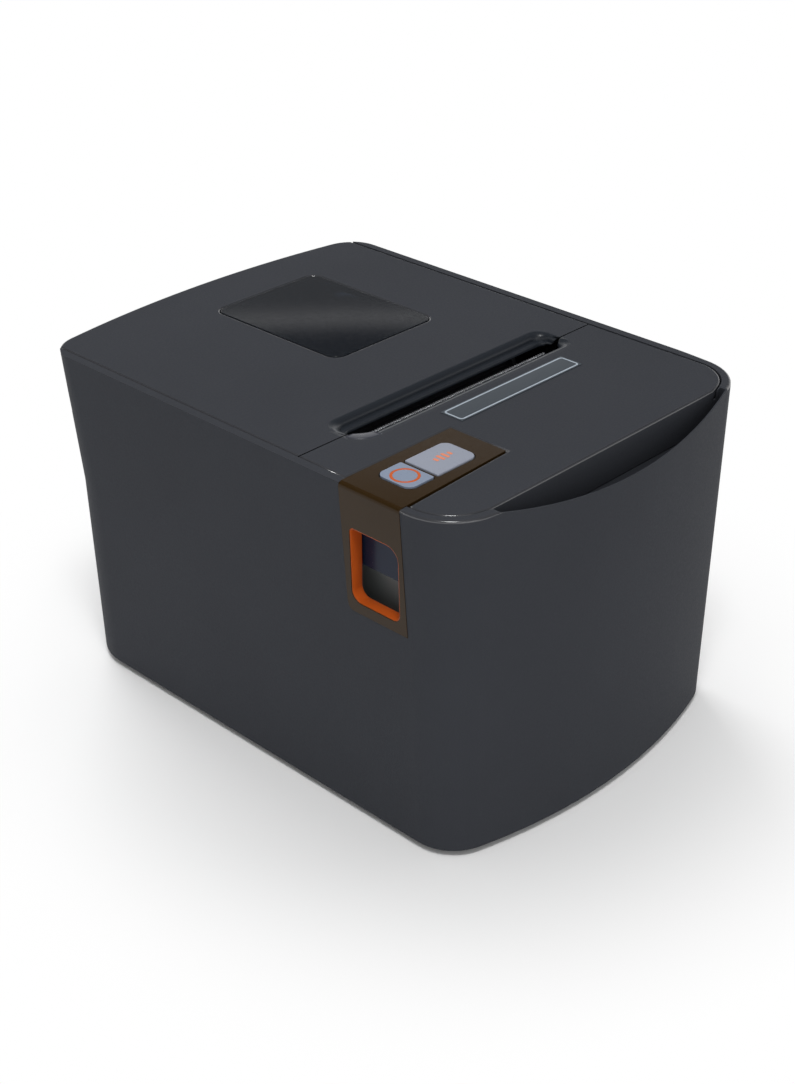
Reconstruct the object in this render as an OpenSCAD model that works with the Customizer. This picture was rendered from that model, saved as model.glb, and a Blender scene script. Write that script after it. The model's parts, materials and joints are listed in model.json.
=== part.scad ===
// Desktop receipt printer with a drop-in paper roll, a side release lever and an automatic cutter.
// Origin: middle of the footprint on the standing surface. X across, -Y to the front, +Z up.
// Every size is in millimetres.

/* [Body] */
// Width across the top rim
body_w = 145; // [140:0.5:152]
// Depth of the straight sides, between the front and back corner lines
corner_depth = 178.4; // [174:0.2:186]
// How far the front wall bows out past its corner line
front_bow = 12.3; // [10.5:0.1:14]
// How far the back wall bows out past its corner line
back_bow = 6.9; // [5.5:0.1:8]
// Height of the case, without its feet
body_h = 118.9; // [118:0.1:124]
// How much each side leans in by the bottom edge
side_taper = 4.1; // [2:0.1:6]
// Front corner radius at the top
front_corner_r = 19; // [15:0.5:22]
// Front corner radius at the bottom
front_low_r = 16; // [12:0.5:20]
// Back corner radius at the top
back_corner_r = 12.3; // [10:0.1:16]
// Back corner radius from the flare down
back_low_r = 21.5; // [16:0.5:24]
// Depth below the top at which the back corners reach their larger radius
flare_drop = 48.9; // [40:0.1:60]
// Thickness of the case walls
wall = 3; // [2:0.1:3.4]
// Thickness of the base plate
base_t = 2.5; // [2:0.1:4]
// Height of the rubber feet below the case
foot_h = 2.5; // [1.5:0.1:4]
// Radius of a rubber foot
foot_r = 7; // [5:0.5:9]
// Distance of each foot from the body's side
foot_inset_x = 22.5; // [21:0.5:28]
// Distance of each foot from the middle, front to back
foot_y = 74; // [72:0.5:76]

/* [Lid and cover] */
// Thickness of the lid's and cover's top plates
plate_t = 3; // [2.4:0.1:3.2]
// Gap all round the lid and cover
rim_gap = 0.5; // [0.3:0.05:0.6]
// Thickness of the lid's skirts
skirt_t = 2.5; // [1.8:0.1:2.6]
// Depth of the lid's side skirts below the top
side_skirt = 9.4; // [7:0.1:10]
// Line of the lid's hinge, from the middle
lid_hinge_y = 81.5; // [80.5:0.1:82]
// Depth of the lid's hinge line below the top
lid_hinge_drop = 10.4; // [10:0.1:11]
// Depth of the lid's back skirt below the hinge line
back_skirt = 10; // [9.5:0.1:12]
// Radius of the lid's hinge pins
lid_pin_r = 2; // [1.5:0.1:2.5]
// Line where the lid meets the front cover
split_y = -26.2; // [-26.6:0.1:-25.8]
// Line of the front cover's hinge
cover_hinge_y = -31; // [-31.4:0.1:-30.6]
// Depth of the front cover's hinge line below the top
cover_hinge_drop = 6.4; // [6:0.1:6.8]
// Radius of the front cover's hinge pins
cover_pin_r = 1.5; // [1.2:0.1:1.8]
// Straight front edge of the front cover
cover_front_y = -88.5; // [-89.5:0.1:-87]
// Left edge of the lid's window
window_x0 = -12.3; // [-20:0.1:-8]
// Right edge of the lid's window
window_x1 = 36; // [30:0.1:44]
// Front edge of the lid's window
window_y0 = 16; // [12:0.1:20]
// Back edge of the lid's window
window_y1 = 76.5; // [60:0.1:78]
// Thickness of the window lens
lens_t = 2; // [1:0.1:2.2]
// Width of the ledge that carries the lens
lens_ledge = 2; // [1:0.1:3]
// Corner radius of the window
window_r = 4.5; // [3:0.1:6]
// Gap round the window lens
lens_gap = 0.35; // [0.2:0.05:0.4]

/* [Paper slot] */
// Left end of the paper slot
slot_x0 = -46.5; // [-48:0.5:-46]
// Right end of the paper slot
slot_x1 = 52; // [49:0.5:54]
// Front edge of the paper slot
slot_y0 = -29; // [-29.4:0.1:-28.6]
// Back edge of the paper slot
slot_y1 = -20.5; // [-21:0.1:-20]
// Depth of the dished lip round the slot
lip_depth = 2.4; // [1.8:0.1:2.6]
// Width of the dished lip at the slot's left end
lip_left = 5; // [4:0.1:6]
// Width of the dished lip at the slot's right end
lip_right = 1.6; // [1:0.1:3]
// Width of the dished lip in front of the slot
lip_front = 5.3; // [4:0.1:6]
// Width of the ledge behind the slot, under the lip
lip_ledge = 2.6; // [1.5:0.1:3.2]
// Width of the rounded lip behind that ledge
lip_back = 2.8; // [2:0.1:3.2]
// Width of the tear bar
tear_w = 84; // [80:0.5:86]
// Pitch of the tear bar's teeth
tear_pitch = 1.2; // [1:0.1:2.5]
// Left edge of the blank label
label_x0 = -18; // [-22:0.5:-14]
// Right edge of the blank label
label_x1 = 41; // [36:0.5:46]
// Front edge of the blank label
label_y0 = -45.3; // [-47:0.1:-44]
// Back edge of the blank label
label_y1 = -36.3; // [-38:0.1:-35.5]

/* [Finger scoop] */
// Middle of the finger scoop, from the body's middle
scoop_x = 2.2; // [0:0.1:3]
// Half of the width of the dip in the front wall
scoop_half_w = 56.4; // [48:0.1:57]
// Depth of the dip in the middle
scoop_dip = 6; // [4:0.1:8]
// Radius of the finger trough behind the dip
trough_r = 8.5; // [7:0.1:9]
// Depth below the top at which the finger trough starts to curve
trough_drop = 9.4; // [8:0.1:10.4]
// Thickness of the front wall at the bottom of the trough
trough_wall = 2.4; // [1.8:0.1:3]
// Thickness of the front wall's edge above the trough
trough_edge = 0.5; // [0.4:0.05:1]

/* [Control strip] */
// Length of the strip on the top
strip_len = 48.5; // [45:0.1:50]
// Back edge of the strip on the top
strip_y1 = -46; // [-46.5:0.1:-45]
// Front edge of the strip on the top
strip_y0 = -70.5; // [-71:0.1:-70]
// How far the strip reaches down the side wall
strip_drop = 42.6; // [41.6:0.1:48]
// How far forward the strip leans by its bottom edge
strip_lean = 2.2; // [0:0.1:3]
// How far the inner end of the front edge lies behind the outer end
strip_slant = 2.3; // [0:0.1:2.6]
// Outer radius of the fold over the rim
strip_fold_r = 1.6; // [1.3:0.1:2]
// Thickness of the strip
strip_t = 1.2; // [0.8:0.1:1.6]
// How far the strip stands proud of the case
strip_proud = 0.2; // [0:0.05:0.4]
// Back edge of the lever window
lever_win_y1 = -50.3; // [-51.5:0.1:-49.5]
// Front edge of the lever window
lever_win_y0 = -69.5; // [-70.2:0.1:-68]
// Depth of the window's top edge below the top
lever_win_top = 13.8; // [13.4:0.1:15]
// Depth of the window's bottom edge below the top
lever_win_low = 38.6; // [36:0.1:39.4]
// Depth of the coloured lining
bezel_depth = 4.8; // [3.8:0.1:5]
// Thickness of the coloured lining
bezel_t = 0.6; // [0.5:0.05:0.8]
// Thickness of the lining lip that shows in the strip
bezel_lip_t = 0.35; // [0.3:0.05:0.45]
// Distance of the power button from the body's side
power_from_side = 10.3; // [9:0.1:11.5]
// Width of the power button
power_w = 10.6; // [9.6:0.1:11]
// Distance between the buttons
button_space = 1.5; // [1.2:0.1:2]
// Width of the feed button
feed_w = 17.8; // [16:0.1:19]
// Front edge of both buttons
button_y0 = -64.8; // [-65.4:0.1:-64]
// Back edge of both buttons
button_y1 = -51.2; // [-52:0.1:-50.6]
// Height of the buttons above the strip
button_proud = 0.4; // [0:0.05:1]
// Travel of the buttons
button_travel = 0.8; // [0.5:0.05:0.9]
// Gap round each button
button_gap = 0.35; // [0.25:0.05:0.4]
// Outer radius of the light ring in the power button
ring_r = 4.6; // [3.5:0.1:4.8]
// Width of the light ring
ring_w = 0.9; // [0.6:0.1:1.4]

/* [Paper bin] */
// Radius of the trough that holds the roll
bin_r = 43; // [41:0.5:44]
// Clear width of the trough
bin_w = 82; // [81:0.5:83]
// Thickness of the trough
bin_t = 2; // [1.5:0.1:2.4]
// Room under the trough, above the main board
bin_room = 6.4; // [5:0.1:8]

/* [Print mechanism] */
// Line of the platen
platen_y = -16; // [-16.4:0.1:-15.6]
// Depth of the platen's line below the top
platen_drop = 24.4; // [23.9:0.1:25.4]
// Radius of the platen's rubber
platen_r = 7; // [6:0.1:7.2]
// Room between the platen's rubber and the sheet metal frame
side_room = 4.5; // [4:0.1:5.5]
// Radius of the platen's shaft
shaft_r = 3; // [2:0.1:3.4]
// Outer radius of the platen's bushes
bush_r = 5; // [4.6:0.1:5.4]
// Running clearance of shafts in their bores
run_fit = 0.05; // [0.02:0.01:0.1]
// Gap between the platen and the print head
head_gap = 0.5; // [0.4:0.05:0.8]
// Thickness of the sheet metal frame
sheet_t = 1.5; // [1:0.1:1.6]
// Inner half width of the sheet metal frame
frame_half_w = 45; // [44.8:0.1:45.4]
// Tooth module of the feed gears
feed_module = 0.8; // [0.8]
// Teeth on the platen gear
platen_teeth = 20; // [20]
// Teeth on the idler gear
idler_teeth = 36; // [36]
// Teeth on the motor pinion
motor_teeth = 14; // [14]
// Face width of the feed gears
gear_w = 4; // [3:0.1:4.4]
// Radius of the feed motor
motor_r = 13.5; // [11:0.1:13.8]
// Length of the feed motor
motor_len = 22; // [16:0.5:26]

/* [Release lever] */
// Line of the latch shaft
latch_y = -27; // [-27.5:0.1:-26.5]
// Depth of the latch shaft below the top
latch_drop = 42.4; // [41.9:0.1:42.9]
// Radius of the latch shaft
latch_r = 3; // [2:0.1:3.2]
// Thickness of the lever across
lever_t = 6.3; // [5:0.1:7]
// Thickness of a latch hook
hook_t = 1.8; // [1.2:0.1:2.2]

/* [Cutter] */
// Travel of the moving blade
blade_travel = 4.5; // [3:0.1:4.8]
// Thickness of the blades
blade_t = 1.2; // [0.8:0.1:1.4]
// Tooth module of the rack and its pinion
rack_module = 1; // [1]
// Teeth on the rack pinion
rack_teeth = 12; // [12]
// Tooth module of the cutter gears
cutter_module = 0.7; // [0.7]
// Teeth on the cutter gear
cutter_teeth = 36; // [36]
// Teeth on the cutter motor's pinion
cutter_motor_teeth = 10; // [10]
// Radius of the cutter motor
cutter_motor_r = 11; // [8:0.1:12]
// Length of the cutter motor
cutter_motor_len = 25; // [18:0.5:30]

/* [Electronics] */
// Distance of the main board from the body's side
board_side_gap = 20.5; // [20:0.5:24]
// Front edge of the main board
board_y0 = -36; // [-40:1:-34]
// Thickness of the boards
board_t = 1.6; // [1:0.1:2]
// Height of the standoffs under the main board
standoff_h = 4; // [3:0.1:6]

/* [Hidden] */

// Heights and lines that follow from the sizes above
top_z = foot_h + body_h;
plate_z = top_z - plate_t;
base_z = foot_h + base_t;
half_w = body_w / 2;
half_depth = (corner_depth + front_bow + back_bow) / 2;
back_line = half_depth - back_bow;
front_line = half_depth - front_bow;
bay_half_w = half_w - wall;
lid_half_w = bay_half_w - rim_gap;
foot_x = half_w - foot_inset_x;
strip_x1 = -half_w + strip_len;
power_x0 = -half_w + power_from_side;
power_x1 = power_x0 + power_w;
feed_x0 = power_x1 + button_space;
feed_x1 = feed_x0 + feed_w;
platen_z = top_z - platen_drop;
platen_len = 2 * (frame_half_w - side_room);
latch_z = top_z - latch_drop;
board_w = body_w - 2 * board_side_gap;
board_z = base_z + standoff_h;
port_z = board_z + board_t;
bin_z = port_z + bin_room + bin_t + bin_r;
bin_y = lid_hinge_y - 2.5 - bin_t - bin_r;
board_y1 = back_y(board_w / 2) - 12;
lid_hinge_z = top_z - lid_hinge_drop;
skirt_z = lid_hinge_z - back_skirt;
cover_hinge_z = top_z - cover_hinge_drop;
slot_r = (slot_y1 - slot_y0) / 2;
slot_mid_y = (slot_y1 + slot_y0) / 2;
// Radius of the cover's rounded back edge about its hinge line
split_r = sqrt(pow(split_y - cover_hinge_y, 2) + pow(cover_hinge_drop, 2));

// Clearances
gap = 0.3;
over = 1;
sliver = 0.01;
// Arc steps of the body outline
corner_steps = 10;
bow_steps = 20;
$fn = 64;

// Colours
case_grey = [0.22, 0.22, 0.23];
inner_grey = [0.14, 0.14, 0.15];
strip_brown = [0.24, 0.19, 0.14];
signal_orange = [0.72, 0.3, 0.06];
button_grey = [0.6, 0.6, 0.65];
steel = [0.7, 0.71, 0.73];
board_green = [0.1, 0.33, 0.2];
white_plastic = [0.88, 0.87, 0.83];
rubber_black = [0.08, 0.08, 0.08];
smoke = [0.1, 0.1, 0.12, 0.6];

// ---------- helpers ----------

module box(lo, hi) {
    translate(lo) cube(hi - lo);
}

module rod_x(x0, x1, y, z, r) {
    translate([x0, y, z]) rotate([0, 90, 0]) cylinder(h = x1 - x0, r = r);
}

module rod_y(y0, y1, x, z, r) {
    translate([x, y1, z]) rotate([90, 0, 0]) cylinder(h = y1 - y0, r = r);
}

module rod_z(z0, z1, x, y, r) {
    translate([x, y, z0]) cylinder(h = z1 - z0, r = r);
}

// Outline in the YZ plane, drawn out along X
module prism_x(x0, x1, points) {
    translate([x0, 0, 0]) rotate([90, 0, 90]) linear_extrude(x1 - x0) polygon(points);
}

// Outline in the XZ plane, drawn out along Y
module prism_y(y0, y1, points) {
    translate([0, y1, 0]) rotate([90, 0, 0]) linear_extrude(y1 - y0) polygon(points);
}

module both_sides() {
    children();
    mirror([1, 0, 0]) children();
}

function arc(centre, r, from, to, steps, first = 0) =
    [for (i = [first:steps]) let (a = from + (to - from) * i / steps)
        centre + r * [cos(a), sin(a)]];

// A bowed end of the body with its two corners, from +X to -X, set in by inset
function bowed_end(hw, line, bow, r, inset) =
    let (big_r = (hw * hw + bow * bow) / (2 * bow),
        bow_y = line + bow - big_r,
        corner_x = hw - r,
        reach = sqrt(pow(big_r - r, 2) - pow(corner_x, 2)),
        turn = 90 - atan2(corner_x, reach),
        corner_y = bow_y + reach)
    concat(
        arc([corner_x, corner_y], r - inset, 0, turn, corner_steps),
        arc([0, bow_y], big_r - inset, turn, 180 - turn, bow_steps, 1),
        arc([-corner_x, corner_y], r - inset, 180 - turn, 180, corner_steps, 1));

function outline(hw, back_r, front_r, inset) = concat(
    bowed_end(hw, back_line, back_bow, back_r, inset),
    [for (p = bowed_end(hw, front_line, front_bow, front_r, inset)) -p]);

function ring(points, z) = [for (p = points) [p.x, p.y, z]];

// Solid between closed rings of points, from the lowest ring to the highest
module loft(rings) {
    n = len(rings[0]);
    polyhedron(
        points = [for (r = rings) for (p = r) p],
        faces = concat(
            [[for (i = [0:n - 1]) i]],
            [for (k = [0:len(rings) - 2]) for (i = [0:n - 1]) let (j = (i + 1) % n)
                each [[k * n + i, (k + 1) * n + i, (k + 1) * n + j],
                    [k * n + i, (k + 1) * n + j, k * n + j]]],
            [[for (i = [n - 1:-1:0]) (len(rings) - 1) * n + i]]));
}

flare_share = flare_drop / body_h;
flare_front_r = front_corner_r + (front_low_r - front_corner_r) * flare_share;

// The body's outer form, set in by inset and made longer by extra at the top and the bottom
module body_form(inset, extra) {
    loft([
        ring(outline(half_w - side_taper, back_low_r, front_low_r, inset), foot_h - extra),
        ring(outline(half_w - side_taper * flare_share, back_low_r, flare_front_r, inset),
            top_z - flare_drop),
        ring(outline(half_w, back_corner_r, front_corner_r, inset), top_z + extra)]);
}

// Distance of the back wall from the middle, at x
function back_y(x) =
    let (big_r = (half_w * half_w + back_bow * back_bow) / (2 * back_bow),
        bow_y = half_depth - big_r,
        corner_x = half_w - back_corner_r,
        reach = sqrt(pow(big_r - back_corner_r, 2) - pow(corner_x, 2)),
        meet_x = big_r * corner_x / (big_r - back_corner_r))
    abs(x) < meet_x ? bow_y + sqrt(big_r * big_r - x * x)
        : bow_y + reach + sqrt(pow(back_corner_r, 2) - pow(abs(x) - corner_x, 2));

// How far the side wall has leaned in at height z
function lean(z) = side_taper * (top_z - z) / body_h;

// Body outline at a height z above the flare
function outline_at(z, inset) = outline(half_w - lean(z),
    back_corner_r + (back_low_r - back_corner_r) * (top_z - z) / flare_drop,
    front_corner_r + (front_low_r - front_corner_r) * (top_z - z) / body_h, inset);

// Closed coil spring along +Z, from z = 0 to z = length
module coil(r, wire_r, turns, length) {
    steps = 16;
    sides = 6;
    climb = length - 2 * wire_r;
    n = turns * steps;
    rings = [for (i = [0:n]) let (a = 360 * i / steps)
        [for (k = [0:sides - 1]) let (b = -360 * k / sides, d = r + wire_r * cos(b))
            [d * cos(a), d * sin(a), wire_r + climb * i / n + wire_r * sin(b)]]];
    loft(rings);
}

// Involute of a circle of radius r, unrolled by t degrees
function involute(r, t) =
    r * [cos(t) + t * PI / 180 * sin(t), sin(t) - t * PI / 180 * cos(t)];
function spin(p, a) = [p.x * cos(a) - p.y * sin(a), p.x * sin(a) + p.y * cos(a)];
function roll_to(base, r) = sqrt(pow(max(r / base, 1), 2) - 1) * 180 / PI;

pressure = 20;
addendum = 0.85;
dedendum = 1.2;
backlash = 0.12;
flank_steps = 3;

// Spur gear outline with one tooth pointing along +X
function gear_points(teeth, mod) =
    let (pitch_r = teeth * mod / 2,
        base = pitch_r * cos(pressure),
        tip = pitch_r + addendum * mod,
        root = pitch_r - dedendum * mod,
        lead = roll_to(base, pitch_r) - pressure,
        half = 90 / teeth - backlash / pitch_r * 90 / PI + lead,
        flank = [for (i = [0:flank_steps])
            involute(base, roll_to(base, tip) * i / flank_steps)])
    [for (k = [0:teeth - 1]) each concat(
        [spin([root, 0], 360 * k / teeth - half)],
        [for (p = flank) spin(p, 360 * k / teeth - half)],
        [for (i = [flank_steps:-1:0]) spin([flank[i].x, -flank[i].y], 360 * k / teeth + half)],
        [spin([root, 0], 360 * k / teeth + half)])];

module gear(teeth, mod, thick, bore_r) {
    difference() {
        linear_extrude(thick) polygon(gear_points(teeth, mod));
        translate([0, 0, -over]) cylinder(h = thick + 2 * over, r = bore_r);
    }
}

// ---------- case ----------

base_screw_x = half_w - 12.5;
base_screw_y = 66;
base_boss_r = 4.5;
base_boss_h = 24;
base_screw_r = 1.5;
case_boss_t = 3.4;
lid_boss_r = 4;
cover_boss_r = 3;
scoop_shelf_t = 2.5;
trough_half_w = scoop_half_w - 0.8;
trough_y = cover_front_y - trough_r;
trough_z = top_z - trough_drop;
trough_low = trough_z - trough_r;
cover_skirt_t = 2;
cover_skirt_z = trough_z - 3;
cover_skirt_half_w = trough_half_w - 3.6;

// Room that the lid's back skirt sweeps about its hinge
module lid_sweep() {
    steps = 12;
    points = [for (i = [-steps:steps]) let (x = bay_half_w * i / steps)
        [sqrt(pow(back_y(x) - lid_hinge_y, 2) + pow(back_skirt, 2)) + rim_gap, x]];
    translate([0, lid_hinge_y, lid_hinge_z]) rotate([0, 90, 0])
        rotate_extrude() polygon(concat([[0, -bay_half_w]], points, [[0, bay_half_w]]));
}

module scoop_cut() {
    dip_r = (scoop_half_w * scoop_half_w + scoop_dip * scoop_dip) / (2 * scoop_dip);
    // Dip in the wall's top edge
    intersection() {
        rod_y(-half_depth - over, cover_front_y + rim_gap, scoop_x, top_z - scoop_dip + dip_r, dip_r);
        box([scoop_x - scoop_half_w, -half_depth - over, top_z - scoop_dip - over],
            [scoop_x + scoop_half_w, 0, top_z + over]);
    }
    // Finger trough behind it, with a thin edge to the front wall
    intersection() {
        loft([
            ring(outline_at(trough_low, trough_wall), trough_low - over),
            ring(outline_at(top_z - scoop_dip, trough_edge), top_z - scoop_dip),
            ring(outline_at(top_z, trough_edge), top_z + over)]);
        trough_form(trough_half_w);
    }
    // Room for the cover's front edge and its skirt
    intersection() {
        body_form(wall, over);
        union() {
            box([-half_w, cover_front_y - rim_gap, plate_z - rim_gap], [half_w, 0, top_z + over]);
            box([scoop_x - cover_skirt_half_w - rim_gap, cover_front_y - rim_gap,
                cover_skirt_z - rim_gap], [scoop_x + cover_skirt_half_w + rim_gap,
                cover_front_y + cover_skirt_t + rim_gap, top_z]);
        }
    }
}

module trough_form(x) {
    rod_x(scoop_x - x, scoop_x + x, trough_y, trough_z, trough_r);
    box([scoop_x - x, trough_y - trough_r, trough_z], [scoop_x + x, cover_front_y, top_z + over]);
}

module scoop_shelf() {
    intersection() {
        body_form(sliver, 0);
        box([-half_w, -half_depth, trough_low - scoop_shelf_t],
            [half_w, cover_front_y + cover_skirt_t + rim_gap + scoop_shelf_t, top_z]);
    }
}

port_gap = 0.4;
// Name order: middle x, width, height, depth
jack = [-44, 12, 11, 14];
drawer = [-24, 13.5, 12.5, 16];
usb = [-4, 12, 11, 16];
lan = [18, 16, 13.5, 20];
port_inset = 1;

function port_face(p) = back_y(abs(p[0]) + p[1] / 2) - port_inset;
function port_lo(p, grow = 0) = [p[0] - p[1] / 2 - grow, port_face(p) - p[3] - grow, port_z - grow];
function port_hi(p, grow = 0) = [p[0] + p[1] / 2 + grow, port_face(p), port_z + p[2] + grow];

module lid_boss() {
    intersection() {
        rod_x(bay_half_w - case_boss_t, half_w, lid_hinge_y, lid_hinge_z, lid_boss_r);
        body_form(wall / 2, over);
    }
}

module port_cut(p) {
    box(port_lo(p, port_gap), [port_hi(p, port_gap).x, half_depth + over, port_hi(p, port_gap).z]);
}

module main_case() {
    color(case_grey) difference() {
        union() {
            difference() {
                body_form(0, 0);
                body_form(wall, over);
            }
            scoop_shelf();
            both_sides() {
                for (s = [-1, 1])
                    rod_z(base_z, base_z + base_boss_h, base_screw_x, s * base_screw_y, base_boss_r);
                lid_boss();
                rod_x(bay_half_w - case_boss_t, bay_half_w + wall / 2, cover_hinge_y,
                    cover_hinge_z, cover_boss_r);
                for (s = [-1, 1])
                    box([base_screw_x, s * base_screw_y - over, base_z],
                        [half_w - side_taper - wall / 2, s * base_screw_y + over,
                            base_z + base_boss_h]);
            }
        }
        scoop_cut();
        // Bay for the lid at the back, and the room its skirt sweeps
        difference() {
            union() {
                box([-bay_half_w, lid_hinge_y - lid_boss_r - rim_gap, skirt_z - rim_gap],
                    [bay_half_w, half_depth + over, top_z + over]);
                lid_sweep();
            }
            both_sides() lid_boss();
        }
        both_sides() {
            rod_x(bay_half_w - case_boss_t - over, pin_end_x, lid_hinge_y, lid_hinge_z, lid_pin_r);
            rod_x(bay_half_w - case_boss_t - over, pin_end_x, cover_hinge_y, cover_hinge_z,
                cover_pin_r);
            for (s = [-1, 1])
                rod_z(base_z - over, base_z + base_boss_h / 2, base_screw_x, s * base_screw_y,
                    base_screw_r);
        }
        strip_form(fold_square());
        lever_window(bezel_t, half_w + over, half_w - wall - 2 * over);
        for (p = [jack, drawer, usb, lan])
            port_cut(p);
    }
}

pin_end_x = half_w - 1.6;

module base_cover() {
    color(inner_grey) difference() {
        union() {
            translate([0, 0, foot_h]) linear_extrude(base_t)
                polygon(outline(half_w - side_taper, back_low_r, front_low_r, wall + gap));
            for (x = [-1, 1])
                for (y = board_post_y)
                    rod_z(base_z - over, board_z, x * board_post_x, y, post_r);
        }
        for (x = [-1, 1]) {
            for (y = [-1, 1]) {
                rod_z(0, base_z + over, x * base_screw_x, y * base_screw_y, base_screw_r + gap);
                rod_z(0, base_z + over, x * foot_x, y * foot_y, foot_peg_r);
            }
            for (y = board_post_y)
                rod_z(base_z, board_z + over, x * board_post_x, y, board_screw_r);
        }
    }
}

foot_peg_r = 2.5;
board_post_x = board_w / 2 - 5;
board_post_y = [board_y0 + 5, board_y1 - 13];
post_r = 3.2;
board_screw_r = 1.3;

module rubber_feet() {
    color(rubber_black) for (x = [-1, 1])
        for (y = [-1, 1]) {
            rod_z(0, foot_h, x * foot_x, y * foot_y, foot_r);
            rod_z(foot_h, foot_h + base_t, x * foot_x, y * foot_y, foot_peg_r);
        }
}

screw_head_r = 2.8;
screw_head_h = 1.6;

module case_screws() {
    color(steel) for (x = [-1, 1])
        for (y = [-1, 1]) {
            rod_z(foot_h - screw_head_h, foot_h, x * base_screw_x, y * base_screw_y, screw_head_r);
            rod_z(foot_h, base_z + base_boss_h / 2 - over, x * base_screw_x, y * base_screw_y,
                base_screw_r);
        }
}

// ---------- paper bin ----------

deck_z = latch_z - 36;
deck_t = 3;
deck_half_w = half_w - 10.5;
deck_y0 = -78;
leg_r = 4;
bin_top_z = plate_z - 14.4;
bin_back_z = lid_hinge_z - 21;
bin_low_z = deck_z + 28;
flange_len = 38;
bin_flange_z = bin_z - 6;

module paper_bin() {
    bin_half_w = bin_w / 2;
    outer_r = bin_r + bin_t;
    color(inner_grey) difference() {
        union() {
            // Trough with its cheeks
            difference() {
                union() {
                    rod_x(-bin_half_w - bin_t, bin_half_w + bin_t, bin_y, bin_z, outer_r);
                    box([-bin_half_w - bin_t, bin_y - outer_r, bin_z],
                        [bin_half_w + bin_t, bin_y + outer_r, bin_top_z]);
                }
                rod_x(-bin_half_w, bin_half_w, bin_y, bin_z, bin_r);
                box([-bin_half_w, bin_y - bin_r, bin_z], [bin_half_w, bin_y + bin_r, top_z]);
                // Low wall on the platen's side, and room for the lid's back skirt
                box([-half_w, bin_y - outer_r - over, bin_low_z], [half_w, bin_y - 28, top_z]);
                box([-half_w, bin_y + 26, bin_back_z], [half_w, bin_y + outer_r + over, top_z]);
                box([-half_w, bin_y - outer_r, bin_top_z], [half_w, bin_y + outer_r, top_z]);
            }
            // Deck for the print mechanism
            difference() {
                box([-deck_half_w, deck_y0, deck_z - deck_t],
                    [deck_half_w, bin_y - bin_r + 12, deck_z]);
                rod_x(-bin_half_w - bin_t, bin_half_w + bin_t, bin_y, bin_z, bin_r + bin_t / 2);
            }
            both_sides() {
                box([bin_half_w + bin_t - sliver, bin_y - 2 * leg_r, bin_flange_z - deck_t],
                    [deck_half_w, bin_y + flange_len - 2 * leg_r, bin_flange_z]);
                for (y = [bin_y - leg_r, bin_y + flange_len - 5 * leg_r])
                    rod_z(base_z, bin_flange_z - deck_t, deck_half_w - leg_r, y, leg_r);
                for (y = [deck_y0 + 26, -12])
                    rod_z(base_z, deck_z - deck_t, deck_half_w - leg_r, y, leg_r);
            }
        }
        cable_passage();
        both_sides() rod_z(0, top_z, frame_screw_x, frame_screw_y, board_screw_r);
    }
}

sensor_w = 8;
sensor_t = 4;

module paper_sensor() {
    front = bin_y - bin_r - bin_t;
    color(rubber_black) box([-sensor_w / 2, front - sensor_t, bin_z - sensor_t],
        [sensor_w / 2, front, bin_z + sensor_t]);
}

// ---------- lid ----------

lug_t = 5.4;
lid_lug_x0 = bay_half_w - case_boss_t - gap - lug_t;
lid_lug_r = 4.5;

module slot_form(z0, z1) {
    translate([0, 0, z0]) linear_extrude(z1 - z0) union() {
        translate([slot_x0 + slot_r, slot_y0]) square([slot_x1 - slot_x0 - 2 * slot_r, 2 * slot_r]);
        translate([slot_x0 + slot_r, slot_mid_y]) circle(slot_r);
        translate([slot_x1 - slot_r, slot_mid_y]) circle(slot_r);
    }
}

// Ring of a rounded rectangle, with a radius for its left corners and one for its right corners
function lip_ring(x0, x1, y0, y1, left_r, right_r, z) = ring(concat(
    arc([x1 - right_r, y0 + right_r], right_r, -90, 0, corner_steps),
    arc([x1 - right_r, y1 - right_r], right_r, 0, 90, corner_steps),
    arc([x0 + left_r, y1 - left_r], left_r, 90, 180, corner_steps),
    arc([x0 + left_r, y0 + left_r], left_r, 180, 270, corner_steps)), z);

lip_steps = 7;
lip_clear = 0.04;
ledge_round = 0.7;

// Dished lip: a quarter round all round the slot, and a ledge behind it
module slot_lip() {
    x0 = slot_x0 - lip_clear;
    x1 = slot_x1 + lip_clear;
    y0 = slot_y0 - lip_clear;
    y1 = slot_y1 + lip_clear;
    back = slot_y1 + lip_ledge;
    loft(concat(
        [for (k = [[lip_depth + ledge_round, 0], [lip_depth + 0.35 * ledge_round, 0.35 * ledge_round],
            [lip_depth + 0.1 * ledge_round, ledge_round]])
            lip_ring(x0, x1, y0, y1 + k[1], slot_r, slot_r, top_z - k[0])],
        [for (i = [0:lip_steps]) let (a = 90 * i / lip_steps, out = 1 - cos(a))
            lip_ring(x0 - lip_left * out, x1 + lip_right * out, y0 - lip_front * out,
                back + lip_back * out, slot_r + 0.5 * lip_left * out, slot_r + 0.5 * lip_right * out,
                top_z - lip_depth * (1 - sin(a)))],
        [lip_ring(x0 - lip_left, x1 + lip_right, y0 - lip_front, back + lip_back,
            slot_r + 0.5 * lip_left, slot_r + 0.5 * lip_right, top_z + over)]));
}

// How far behind the split the lid's side skirts begin
skirt_back = 12;

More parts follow.
